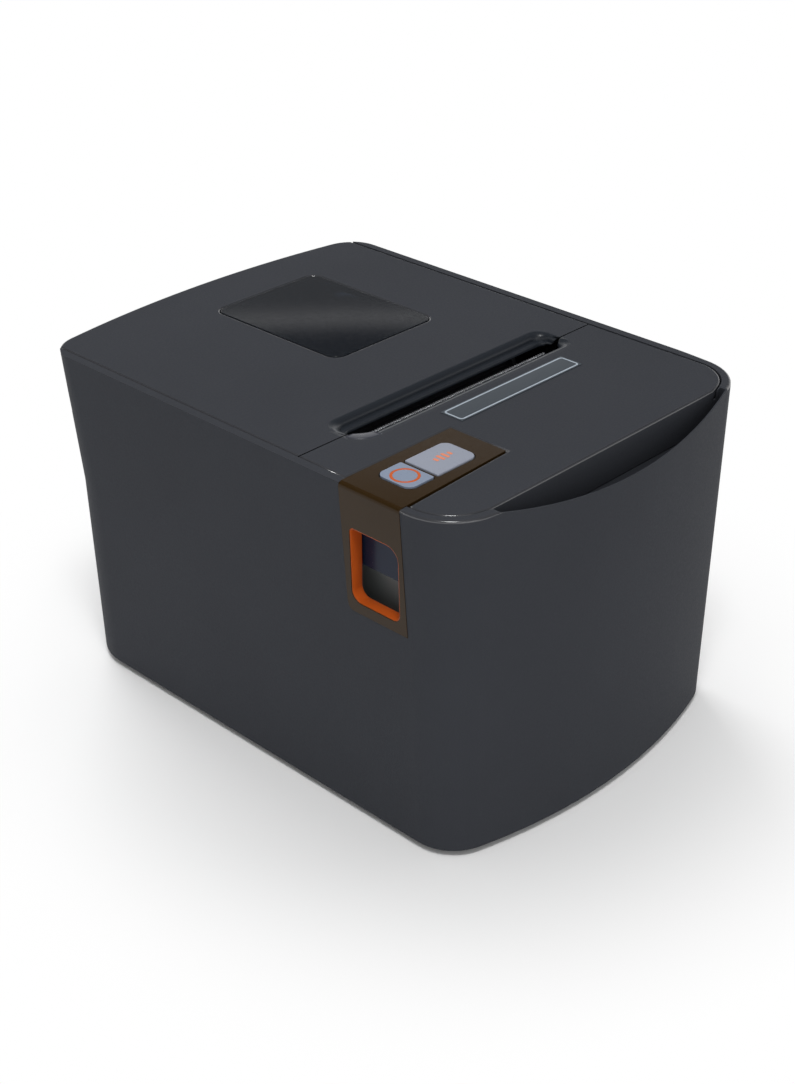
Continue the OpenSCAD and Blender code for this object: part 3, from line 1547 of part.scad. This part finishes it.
module buzzer() {
    color(rubber_black) rod_z(port_z, port_z + buzzer_h, buzzer_x, buzzer_y, buzzer_r);
}

main_case();
base_cover();
rubber_feet();
case_screws();
paper_bin();
paper_sensor();
paper_lid();
lid_window();
lid_hinge_pins();
platen_carrier();
platen_bushes();
platen_shaft();
platen_roller();
platen_gear();
fixed_blade();
front_cover();
cover_hinge_pins();
tear_bar();
slot_label();
control_strip();
lever_bezel();
lever_wall();
release_lever();
latch_shaft();
latch_hooks();
lever_spring();
button_pod();
panel_board();
button_switches();
power_button();
power_ring();
feed_button();
print_head();
head_heatsink();
head_springs();
mech_frame();
frame_screws();
feed_motor();
motor_pinion();
idler_gear();
idler_stud();
cutter_frame();
moving_blade();
blade_carriage();
cutter_gear();
cutter_gear_pin();
cutter_motor();
cutter_pinion();
main_board();
board_chips();
board_screws();
power_jack();
usb_port();
lan_port();
drawer_port();
head_cable();
buzzer();
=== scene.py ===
"""Looks of the receipt printer: materials, rounded edges, floor, light and camera."""
import json
import math

import bpy
from mathutils import Matrix, Vector


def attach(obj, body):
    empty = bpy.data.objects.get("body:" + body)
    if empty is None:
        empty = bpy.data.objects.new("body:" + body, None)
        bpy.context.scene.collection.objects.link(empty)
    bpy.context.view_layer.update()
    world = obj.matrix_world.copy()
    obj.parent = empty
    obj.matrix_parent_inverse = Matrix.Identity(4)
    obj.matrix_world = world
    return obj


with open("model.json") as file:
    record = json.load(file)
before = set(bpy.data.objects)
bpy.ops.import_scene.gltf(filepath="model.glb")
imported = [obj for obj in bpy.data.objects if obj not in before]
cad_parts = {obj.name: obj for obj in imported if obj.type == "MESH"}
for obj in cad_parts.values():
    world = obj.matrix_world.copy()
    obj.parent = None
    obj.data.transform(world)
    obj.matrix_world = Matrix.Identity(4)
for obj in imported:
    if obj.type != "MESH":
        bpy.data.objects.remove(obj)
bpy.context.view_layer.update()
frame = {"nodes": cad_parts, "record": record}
nodes = frame["nodes"]
MM = 0.001

# ---------- camera ----------

# Fitted to the photograph: turn and tilt of the view, place in mm, lens in mm
AZ, EL = math.radians(-46.28), math.radians(29.87)
BACK = Vector((math.sin(AZ) * math.cos(EL), -math.cos(AZ) * math.cos(EL), math.sin(EL)))
RIGHT = Vector((math.cos(AZ), math.sin(AZ), 0))
UP = BACK.cross(RIGHT)
CAMERA_PLACE = Vector((-397.0, -380.2, 368.7)) * MM
LENS = 60.39

cam_data = bpy.data.cameras.new("camera")
cam_data.lens = LENS
cam_data.sensor_width = 36
cam_data.sensor_fit = "AUTO"
cam_data.clip_start = 0.01
cam_data.clip_end = 20
camera = bpy.data.objects.new("camera", cam_data)
camera.matrix_world = Matrix((
    (RIGHT.x, UP.x, BACK.x, CAMERA_PLACE.x),
    (RIGHT.y, UP.y, BACK.y, CAMERA_PLACE.y),
    (RIGHT.z, UP.z, BACK.z, CAMERA_PLACE.z),
    (0, 0, 0, 1)))
bpy.context.scene.collection.objects.link(camera)
bpy.context.scene.camera = camera

# ---------- materials ----------


def srgb(r, g, b):
    """Linear colour from 0-255 screen values."""
    def lin(v):
        v /= 255
        return v / 12.92 if v <= 0.04045 else ((v + 0.055) / 1.055) ** 2.4
    return (lin(r), lin(g), lin(b), 1.0)


# The slow noise that varies the colour, and the part of its range that is used
CLOUD_SCALE, CLOUD_DETAIL = 22, 6
CLOUD_SPAN = (0.25, 0.75)
# The fine noise that varies roughness and relief, and the part of its range that is used
GRAIN_DETAIL, GRAIN_ROUGHNESS = 3, 0.65
GRAIN_SPAN = (0.3, 0.7)
# Depth of the fine relief at a bump of 1, in metres
RELIEF_DEPTH = 0.0002
COAT_ROUGHNESS = 0.1


def spread_over(nt, value, span, middle, reach):
    """Map Range node that carries a span to middle plus or minus reach."""
    node = nt.nodes.new("ShaderNodeMapRange")
    node.inputs["From Min"].default_value = span[0]
    node.inputs["From Max"].default_value = span[1]
    node.inputs["To Min"].default_value = middle - reach
    node.inputs["To Max"].default_value = middle + reach
    nt.links.new(value, node.inputs["Value"])
    return node.outputs[0]


def noise(nt, vector, scale, detail):
    """Noise Texture node on a vector."""
    node = nt.nodes.new("ShaderNodeTexNoise")
    node.inputs["Scale"].default_value = scale
    node.inputs["Detail"].default_value = detail
    nt.links.new(vector, node.inputs["Vector"])
    return node


def material(name, colour, rough=0.5, metal=0.0, spread=0.06, grain=900, bump=0.05, coat=0.0,
             specular=0.5, streak=None, rough_spread=0.08, transmission=0.0):
    """A moulded or metal surface: mottled colour, uneven roughness and fine surface relief.

    grain is the scale of the fine noise, and streak scales both noises along x, y and z.
    """
    mat = bpy.data.materials.new(name)
    mat.use_nodes = True
    nt = mat.node_tree
    nt.nodes.clear()
    out = nt.nodes.new("ShaderNodeOutputMaterial")
    bsdf = nt.nodes.new("ShaderNodeBsdfPrincipled")
    nt.links.new(bsdf.outputs[0], out.inputs[0])
    bsdf.inputs["Metallic"].default_value = metal
    bsdf.inputs["Coat Weight"].default_value = coat
    bsdf.inputs["Coat Roughness"].default_value = COAT_ROUGHNESS
    bsdf.inputs["Specular IOR Level"].default_value = specular
    bsdf.inputs["Transmission Weight"].default_value = transmission
    coord = nt.nodes.new("ShaderNodeTexCoord")
    mapping = nt.nodes.new("ShaderNodeMapping")
    nt.links.new(coord.outputs["Object"], mapping.inputs["Vector"])
    if streak:
        mapping.inputs["Scale"].default_value = streak
    cloud = noise(nt, mapping.outputs[0], CLOUD_SCALE, CLOUD_DETAIL)
    fine = noise(nt, mapping.outputs[0], grain, GRAIN_DETAIL)
    fine.inputs["Roughness"].default_value = GRAIN_ROUGHNESS
    tint = nt.nodes.new("ShaderNodeVectorMath")
    tint.operation = "SCALE"
    tint.inputs[0].default_value = colour[:3]
    shade = spread_over(nt, cloud.outputs["Fac"], CLOUD_SPAN, 1, spread)
    nt.links.new(shade, tint.inputs["Scale"])
    nt.links.new(tint.outputs[0], bsdf.inputs["Base Color"])
    roughness = spread_over(nt, fine.outputs["Fac"], GRAIN_SPAN, rough, rough_spread)
    nt.links.new(roughness, bsdf.inputs["Roughness"])
    relief = nt.nodes.new("ShaderNodeBump")
    relief.inputs["Strength"].default_value = bump
    relief.inputs["Distance"].default_value = RELIEF_DEPTH
    nt.links.new(fine.outputs["Fac"], relief.inputs["Height"])
    nt.links.new(relief.outputs[0], bsdf.inputs["Normal"])
    return mat


# One finish for each material slot of the record
MATS = {
    "case": material("case_grey", srgb(54, 56, 61), rough=0.6, grain=1500, bump=0.22, spread=0.045,
                     specular=0.07),
    "inner": material("inner_grey", srgb(40, 41, 45), rough=0.5, grain=1200, bump=0.18,
                      specular=0.25),
    "strip": material("strip_brown", srgb(46, 32, 13), rough=0.13, rough_spread=0.03, bump=0.015,
                      spread=0.12, specular=0.17),
    "orange": material("signal_orange", srgb(188, 84, 25), rough=0.38, bump=0.06, specular=0.3),
    "button": material("button_grey", srgb(140, 145, 158), rough=0.34, bump=0.05, specular=0.3),
    "lens": material("lens_smoke", srgb(40, 49, 62), rough=0.05, rough_spread=0.015, bump=0.004,
                     transmission=0.8, specular=0.5),
    "label": material("label_film", srgb(56, 63, 70), rough=0.3, rough_spread=0.02, grain=2600,
                      bump=0.03, specular=0.3),
    "steel": material("sheet_steel", srgb(178, 180, 185), rough=0.34, metal=1.0, grain=300,
                      bump=0.06, streak=(1, 1, 12)),
    "pin_steel": material("turned_steel", srgb(196, 197, 200), rough=0.25, metal=1.0, grain=600,
                          bump=0.05),
    "rubber": material("rubber_black", srgb(28, 28, 29), rough=0.78, grain=1600, bump=0.3,
                       specular=0.25),
    "white_plastic": material("acetal_white", srgb(214, 211, 202), rough=0.4, bump=0.08,
                              specular=0.35),
    "ceramic": material("ceramic_head", srgb(214, 210, 198), rough=0.18, bump=0.02),
    "aluminium": material("aluminium_bar", srgb(190, 192, 196), rough=0.33, metal=1.0, grain=420,
                          bump=0.09, streak=(0.2, 1, 4)),
    "board": material("board_green", srgb(22, 78, 46), rough=0.32, coat=0.3, grain=700, bump=0.12),
    "black_plastic": material("black_moulding", srgb(27, 27, 29), rough=0.46, bump=0.15,
                              specular=0.3),
    "cable": material("ribbon_white", srgb(212, 211, 204), rough=0.45, bump=0.05, specular=0.35),
    "lever": material("lever_gloss", srgb(22, 32, 52), rough=0.24, rough_spread=0.04, bump=0.02,
                      specular=0.18),
}
slot_of = {s["node"]: s["material_slot"] for s in frame["record"]["subparts"]}

# ---------- rounded edges ----------

# Height of the top face and place of the line between lid and cover, in metres
TOP_Z = 0.1214
SPLIT_Y = -0.026
# Edges within this distance of that line and above this height are left as they are
SPLIT_REACH = 0.001
SPLIT_LOW_Z = TOP_Z - 0.004
# An edge counts as sharp above one angle; neighbouring faces are joined below the other
SHARP = math.radians(35)
FLAT = math.radians(0.5)
# Points closer than this are joined, in mm: on the nodes in WIDE, and on the others
WELD_WIDE, WELD = 0.13, 0.01
# Width of the small rounding on every sharp edge, in mm, and its width on the other nodes
EDGE = {"main_case": 0.3, "paper_lid": 0.3, "front_cover": 0.3, "control_strip": 0.25,
        "power_button": 0.35, "feed_button": 0.35, "release_lever": 0.8, "tear_bar": 0.08,
        "rubber_feet": 0.4, "power_ring": 0.1, "lid_window": 0.25}
OTHER_EDGE = 0.2
# Width of the wider rounding on the edges of the top face, in mm
WIDE = {"main_case": 0.75, "paper_lid": 0.6, "front_cover": 0.6}
# It takes the edges above this height
RIM_LOW_Z = TOP_Z - 0.0004
# Boxes in plan that it leaves out: centre x, centre y, half width, half depth, in metres.
# On these nodes it takes only edges that face outwards: place in plan times normal, above OUTWARD
SKIP = {"main_case": ((0.0022, -0.0905, 0.0565, 0.0035), (0, 0.02, 0.08, 0.091))}
OUTWARD = 0.005
# The slot's lip: centre and half size along x and along y, and lowest height
LIP_X, LIP_Y = (0.001, 0.056), (-0.026, 0.0106)
LIP_LOW_Z = TOP_Z - 0.006
# A face whose normal rises more than this is flat and keeps its own finish
LIP_FLAT = 0.985
# Places of the edge finish and the lip's polish with painted shade among the materials of the
# nodes in WIDE
EDGE_INDEX, LIP_INDEX = 1, 2
# Nodes left with their own edges
PLAIN = {"lever_bezel", "slot_label", "head_springs", "lever_spring", "platen_gear", "idler_gear",
         "motor_pinion", "cutter_gear", "cutter_pinion", "blade_carriage", "head_cable",
         "moving_blade", "fixed_blade"}


def edge_picker(name, slot_lip, skip):
    """Node group that weights sharp edges for two roundings, and marks the slot's lip for its
    polish and painted shade.
    """
    group = bpy.data.node_groups.new(name, "GeometryNodeTree")
    group.interface.new_socket("Geometry", in_out="INPUT", socket_type="NodeSocketGeometry")
    group.interface.new_socket("Geometry", in_out="OUTPUT", socket_type="NodeSocketGeometry")
    add, link = group.nodes.new, group.links.new

    def step(kind, operation):
        node = add(kind)
        node.operation = operation
        return node

    def above(value, limit):
        """True where a value is greater than a limit."""
        node = add("FunctionNodeCompare")
        node.inputs[1].default_value = limit
        link(value, node.inputs[0])
        return node.outputs[0]

    def both(a, b):
        node = step("FunctionNodeBooleanMath", "AND")
        link(a, node.inputs[0])
        link(b, node.inputs[1])
        return node.outputs[0]

    def negate(a):
        node = step("FunctionNodeBooleanMath", "NOT")
        link(a, node.inputs[0])
        return node.outputs[0]

    def near(value, centre, half):
        """True where a value is within half of a centre."""
        shift = step("ShaderNodeMath", "SUBTRACT")
        shift.inputs[1].default_value = centre
        link(value, shift.inputs[0])
        size = step("ShaderNodeMath", "ABSOLUTE")
        link(shift.outputs[0], size.inputs[0])
        left = step("ShaderNodeMath", "SUBTRACT")
        left.inputs[0].default_value = half
        link(size.outputs[0], left.inputs[1])
        return above(left.outputs[0], 0)

    def store(geometry, label, value):
        """Keep a value on every edge under a name."""
        node = add("GeometryNodeStoreNamedAttribute")
        node.data_type = "FLOAT"
        node.domain = "EDGE"
        node.inputs["Name"].default_value = label
        link(geometry, node.inputs["Geometry"])
        link(value, node.inputs["Value"])
        return node.outputs[0]

    g_in, g_out = add("NodeGroupInput"), add("NodeGroupOutput")
    place = add("GeometryNodeInputPosition").outputs[0]
    parts = add("ShaderNodeSeparateXYZ")
    link(place, parts.inputs[0])
    x, y, z = parts.outputs
    angle = add("GeometryNodeInputMeshEdgeAngle").outputs[0]
    # Sharp edges, apart from the line between lid and cover
    at_split = both(near(y, SPLIT_Y, SPLIT_REACH), above(z, SPLIT_LOW_Z))
    sharp = both(above(angle, SHARP), negate(at_split))
    # Of these, the edges of the top face
    high = both(sharp, above(z, RIM_LOW_Z))
    # Where there are boxes to leave out, only the edges that face outwards and lie in no box
    if skip:
        in_plan = step("ShaderNodeVectorMath", "MULTIPLY")
        in_plan.inputs[1].default_value = (1, 1, 0)
        link(place, in_plan.inputs[0])
        outward = step("ShaderNodeVectorMath", "DOT_PRODUCT")
        link(in_plan.outputs[0], outward.inputs[0])
        link(add("GeometryNodeInputNormal").outputs[0], outward.inputs[1])
        high = both(high, above(outward.outputs["Value"], OUTWARD))
    for centre_x, centre_y, half_x, half_y in skip:
        in_box = both(near(x, centre_x, half_x), near(y, centre_y, half_y))
        high = both(high, negate(in_box))
    geometry = store(g_in.outputs[0], "small_edges", sharp)
    geometry = store(geometry, "rim_edges", high)
    # Faces of the lip that are not flat get the lip's polish and its painted shade
    if slot_lip:
        facing = add("ShaderNodeSeparateXYZ")
        link(add("GeometryNodeInputNormal").outputs[0], facing.inputs[0])
        tilted = negate(above(facing.outputs[2], LIP_FLAT))
        lip = both(both(near(x, *LIP_X), near(y, *LIP_Y)), both(tilted, above(z, LIP_LOW_Z)))
        mark = add("GeometryNodeSetMaterialIndex")
        mark.inputs["Material Index"].default_value = LIP_INDEX
        link(geometry, mark.inputs["Geometry"])
        link(lip, mark.inputs["Selection"])
        geometry = mark.outputs[0]
    link(geometry, g_out.inputs[0])
    return group


def bevel(obj, name, width, weights=None, segments=3):
    """Rounding of a width in mm: on the edges that an attribute weights, or on every sharp one."""
    mod = obj.modifiers.new(name, "BEVEL")
    if weights:
        mod.edge_weight = weights
    mod.width = width * MM
    mod.segments = segments
    mod.limit_method = "WEIGHT" if weights else "ANGLE"
    mod.angle_limit = SHARP
    return mod


# Moulded edges, worn smoother than the grained faces
EDGE_FINISH = material("case_edge", srgb(54, 55, 59), rough=0.17, rough_spread=0.04, grain=1500,
                       bump=0.04, spread=0.06, specular=0.95)
# Polished lip round the paper slot, its colour darker and bluer than the case's as painted shade
# on the slopes that face away from the light
LIP_POLISH_AND_SHADE = material("case_lip_shaded", srgb(36, 40, 46), rough=0.3, rough_spread=0.02, grain=500,
                      bump=0.015, spread=0.05, specular=0.3)
# Nodes whose finish differs from the rest of their slot: the lever well's wall, made pale as
# painted light where little light reaches it, and the power button, in its own darker grey
OWN = {"lever_wall": material("well_painted_light", srgb(146, 152, 152), rough=0.5, bump=0.15,
                              specular=0.25),
       "power_button": material("button_shade", srgb(125, 136, 155), rough=0.34, bump=0.05,
                                specular=0.3)}

for name, obj in nodes.items():
    obj.data.materials.clear()
    obj.data.materials.append(OWN.get(name, MATS[slot_of[name]]))
    weld = obj.modifiers.new("weld", "WELD")
    weld.merge_threshold = (WELD_WIDE if name in WIDE else WELD) * MM
    if name in WIDE:
        obj.data.materials.append(EDGE_FINISH)
        obj.data.materials.append(LIP_POLISH_AND_SHADE)
    if name not in PLAIN:
        flat = obj.modifiers.new("flat", "DECIMATE")
        flat.decimate_type = "DISSOLVE"
        flat.angle_limit = FLAT
        if name in WIDE:
            pick = obj.modifiers.new("pick", "NODES")
            pick.node_group = edge_picker(name + "_edges", name != "main_case", SKIP.get(name, ()))
            rim = bevel(obj, "rim", WIDE[name], "rim_edges", 4)
            # On the nodes in SKIP, the edges left have no short neighbours and keep the full width
            rim.use_clamp_overlap = name not in SKIP
            rim.material = EDGE_INDEX
            bevel(obj, "edge", EDGE[name], "small_edges")
        else:
            bevel(obj, "edge", EDGE.get(name, OTHER_EDGE))
    for p in obj.data.polygons:
        p.use_smooth = True
    normals = obj.modifiers.new("normals", "WEIGHTED_NORMAL")
    normals.keep_sharp = True

# ---------- detail pieces ----------


def piece(name, verts, faces, mat, body, smooth=False):
    """A new piece, its points in mm, that rides on a body and takes a material."""
    mesh = bpy.data.meshes.new(name)
    mesh.from_pydata([Vector(v) * MM for v in verts], [], faces)
    mesh.validate()
    obj = bpy.data.objects.new(name, mesh)
    obj.data.materials.append(mat)
    bpy.context.scene.collection.objects.link(obj)
    for p in mesh.polygons:
        p.use_smooth = smooth
    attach(obj, body)


def rounded_rect(x0, y0, x1, y1, r, steps=6):
    """Points round a rectangle with corners of radius r."""
    pts = []
    corners = ((x1 - r, y1 - r), (x0 + r, y1 - r), (x0 + r, y0 + r), (x1 - r, y0 + r))
    for quarter, (cx, cy) in enumerate(corners):
        for k in range(steps + 1):
            a = math.radians(90 * quarter + 90 * k / steps)
            pts.append((cx + r * math.cos(a), cy + r * math.sin(a)))
    return pts


def band(outer, inner, z0, z1):
    """Closed raised band between two loops of the same length."""
    n = len(outer)
    rings = ((outer, z0), (inner, z0), (inner, z1), (outer, z1))
    verts = [(x, y, z) for loop, z in rings for x, y in loop]
    faces = []
    for k in range(n):
        m = (k + 1) % n
        for a, b in ((0, 1), (1, 2), (2, 3), (3, 0)):
            faces.append((a * n + k, b * n + k, b * n + m, a * n + m))
    return verts, faces


def prism(loop, z0, z1, base):
    """Upright block on a loop; base is the number of its first point."""
    n = len(loop)
    verts = [(x, y, z) for z in (z0, z1) for x, y in loop]
    faces = [tuple(base + k for k in reversed(range(n))), tuple(base + n + k for k in range(n))]
    faces += [(base + k, base + (k + 1) % n, base + n + (k + 1) % n, base + n + k)
              for k in range(n)]
    return verts, faces


def label_border():
    """Light border printed round the blank sticker beside the slot."""
    x0, y0, x1, y1 = -18, -45.3, 41, -36.3
    top, film = 121.55, 0.03
    # Distance from the sticker's edge, and corner radius, of the border's two sides
    loops = [rounded_rect(x0 + inset, y0 + inset, x1 - inset, y1 - inset, radius)
             for inset, radius in ((0.5, 1.4), (1.1, 0.8))]
    verts, faces = band(*loops, top, top + film)
    finish = material("label_line", srgb(158, 168, 178), rough=0.4, bump=0.03, specular=0.3)
    piece("label_border", verts, faces, finish, "cover")


def slot_corner():
    """Swelling that fills the slot's near left corner up to the teeth."""
    # Outer side: an arc round the slot's end, over sweep degrees from start, cut off at back_y
    centre_x, centre_y = -42.25, -24.75
    reach_x, reach_y = 8.7, 8.8
    start, sweep = 191, 89
    back_y = -26.45
    # Inner side: a straight line between two points
    near_x, near_y = -45.9, back_y
    far_x, far_y = -41.9, -28.95
    rows, columns = 12, 10
    # Below the top face: the outer side, the fall from it to the inner side, and the underside
    top = TOP_Z / MM
    sunk, fall, depth = 0.05, 0.85, 2.0
    verts = []
    for i in range(rows + 1):
        share = i / rows
        turn = math.radians(start + sweep * share)
        ox = centre_x + reach_x * math.cos(turn)
        oy = min(centre_y + reach_y * math.sin(turn), back_y)
        ix = near_x + (far_x - near_x) * share
        iy = near_y + (far_y - near_y) * share
        for k in range(columns + 1):
            bend = math.radians(90 * k / columns)
            across = math.sin(bend)
            verts.append((ox + (ix - ox) * across, oy + (iy - oy) * across,
                          top - sunk - fall * (1 - math.cos(bend))))
        verts.append((ix, iy, top - depth))
        verts.append((ox, oy, top - depth))
    ring = columns + 3
    faces = []
    for i in range(rows):
        for k in range(ring):
            m = (k + 1) % ring
            faces.append((i * ring + k, i * ring + m, (i + 1) * ring + m, (i + 1) * ring + k))
    faces.append(tuple(range(ring)))
    faces.append(tuple(rows * ring + k for k in reversed(range(ring))))
    finish = material("corner_satin", srgb(58, 60, 68), rough=0.3, rough_spread=0.03, grain=500,
                      bump=0.01, spread=0.05, specular=0.5)
    piece("slot_corner", verts, faces, finish, "cover", smooth=True)


def feed_mark():
    """Generic mark set into the feed button's top: four short bars."""
    centre_x, centre_y = -40.4, -57.8
    top, sunk, film = 122.0, 0.1, 0.03
    half_width, radius = 0.55, 0.4
    # Offset and half length of each bar
    bars = ((-3.0, 1.0), (-1.0, 1.7), (1.0, 1.7), (3.0, 1.0))
    verts, faces = [], []
    for offset, half in bars:
        x = centre_x + offset
        loop = rounded_rect(x - half_width, centre_y - half, x + half_width, centre_y + half,
                            radius, 4)
        bar_verts, bar_faces = prism(loop, top - sunk, top + film, len(verts))
        verts += bar_verts
        faces += bar_faces
    finish = material("mark_orange", srgb(214, 128, 96), rough=0.45, bump=0.05, specular=0.3)
    piece("feed_mark", verts, faces, finish, "feed")


label_border()
slot_corner()
feed_mark()

# ---------- floor, light, world ----------


def square(name, size):
    """Flat square on the ground."""
    mesh = bpy.data.meshes.new(name)
    h = size / 2
    mesh.from_pydata([(-h, -h, 0), (h, -h, 0), (h, h, 0), (-h, h, 0)], [], [(0, 1, 2, 3)])
    obj = bpy.data.objects.new(name, mesh)
    bpy.context.scene.collection.objects.link(obj)
    return obj


def area(name, place, aim, size, power):
    """Square lamp aimed at a point."""
    data = bpy.data.lights.new(name, "AREA")
    data.shape = "RECTANGLE"
    data.size, data.size_y = size, size
    data.energy = power
    obj = bpy.data.objects.new(name, data)
    obj.location = place
    direction = Vector(aim) - Vector(place)
    obj.rotation_euler = direction.to_track_quat("-Z", "Y").to_euler()
    bpy.context.scene.collection.objects.link(obj)
    return obj


def ray_mix(tree):
    """1 for what the camera, a mirror or glass sees, 0 for light on the object."""
    path = tree.nodes.new("ShaderNodeLightPath")
    value = path.outputs["Is Camera Ray"]
    for kind in ("Is Glossy Ray", "Is Transmission Ray"):
        larger = tree.nodes.new("ShaderNodeMath")
        larger.operation = "MAXIMUM"
        tree.links.new(value, larger.inputs[0])
        tree.links.new(path.outputs[kind], larger.inputs[1])
        value = larger.outputs[0]
    return value


FLOOR_SIZE = 12
FLOOR_GREY = 0.94
# Distances from the origin between which the floor fades to plain white
FADE = (0.105, 0.2)
# Strength of the world's light on the object
SOFT_LIGHT = 0.48

# Floor: matt pale near the object, where its shadow lies, and plain white further out
floor_mat = bpy.data.materials.new("floor")
floor_mat.use_nodes = True
ft = floor_mat.node_tree
paint = ft.nodes["Principled BSDF"]
paint.inputs["Roughness"].default_value = 0.9
paint.inputs["Specular IOR Level"].default_value = 0.0
paint.inputs["Base Color"].default_value = (FLOOR_GREY, FLOOR_GREY, FLOOR_GREY, 1)
white = ft.nodes.new("ShaderNodeEmission")
white.inputs[0].default_value = (1, 1, 1, 1)
white.inputs[1].default_value = 1.0
spot = ft.nodes.new("ShaderNodeTexCoord")
reach = ft.nodes.new("ShaderNodeVectorMath")
reach.operation = "LENGTH"
ft.links.new(spot.outputs["Object"], reach.inputs[0])
fade = ft.nodes.new("ShaderNodeMapRange")
fade.interpolation_type = "SMOOTHSTEP"
fade.inputs["From Min"].default_value = FADE[0]
fade.inputs["From Max"].default_value = FADE[1]
ft.links.new(reach.outputs["Value"], fade.inputs["Value"])
far = ft.nodes.new("ShaderNodeMath")
far.operation = "MULTIPLY"
ft.links.new(fade.outputs[0], far.inputs[0])
ft.links.new(ray_mix(ft), far.inputs[1])
blend = ft.nodes.new("ShaderNodeMixShader")
ft.links.new(far.outputs[0], blend.inputs[0])
ft.links.new(paint.outputs[0], blend.inputs[1])
ft.links.new(white.outputs[0], blend.inputs[2])
ft.links.new(blend.outputs[0], ft.nodes["Material Output"].inputs[0])
floor = square("floor", FLOOR_SIZE)
floor.data.materials.append(floor_mat)

# World: even soft light on the object. In gloss, a white ground and horizon, two light bands
# and a dark ceiling
world = bpy.data.worlds.new("studio")
bpy.context.scene.world = world
world.use_nodes = True
wn = world.node_tree
wn.nodes.clear()
w_out = wn.nodes.new("ShaderNodeOutputWorld")
soft = wn.nodes.new("ShaderNodeBackground")
soft.inputs[0].default_value = (1, 1, 1, 1)
soft.inputs[1].default_value = SOFT_LIGHT
seen = wn.nodes.new("ShaderNodeBackground")
seen.inputs[1].default_value = 1.0
way = wn.nodes.new("ShaderNodeTexCoord")
rise = wn.nodes.new("ShaderNodeSeparateXYZ")
wn.links.new(way.outputs["Generated"], rise.inputs[0])
room = wn.nodes.new("ShaderNodeValToRGB")
# Height of a direction, from 0 level to 1 straight up, and the grey seen there
STEPS = [(0.0, 1.0), (0.29, 1.0), (0.355, 0.2), (0.3840, 0.16), (0.3852, 0.6), (0.3910, 0.5),
         (0.3925, 0.05), (0.414, 0.07), (0.428, 0.7), (0.452, 0.7), (0.472, 0.08), (0.6, 0.06),
         (1.0, 0.2)]
ramp = room.color_ramp
ramp.elements[0].position, ramp.elements[1].position = STEPS[0][0], STEPS[-1][0]
for at, level in STEPS[1:-1]:
    ramp.elements.new(at)
for element, (at, level) in zip(ramp.elements, STEPS):
    element.position = at
    element.color = (level, level, level, 1)
wn.links.new(rise.outputs[2], room.inputs[0])
wn.links.new(room.outputs[0], seen.inputs[0])
mix = wn.nodes.new("ShaderNodeMixShader")
wn.links.new(ray_mix(wn), mix.inputs[0])
wn.links.new(soft.outputs[0], mix.inputs[1])
wn.links.new(seen.outputs[0], mix.inputs[2])
wn.links.new(mix.outputs[0], w_out.inputs[0])

# Lamps: name, place, aim, size, watts. The back lamp shows in no reflection
area("key", (-0.42, -0.42, 1.3), (0, 0, 0.08), 0.3, 7)
area("fill", (-0.5, -1.4, 0.8), (0, 0, 0.06), 1.0, 3)
back_light = area("back", (0.35, 1.0, 0.95), (0, 0, 0.1), 0.8, 9)
back_light.visible_glossy = False

bpy.context.scene.view_settings.view_transform = "Standard"
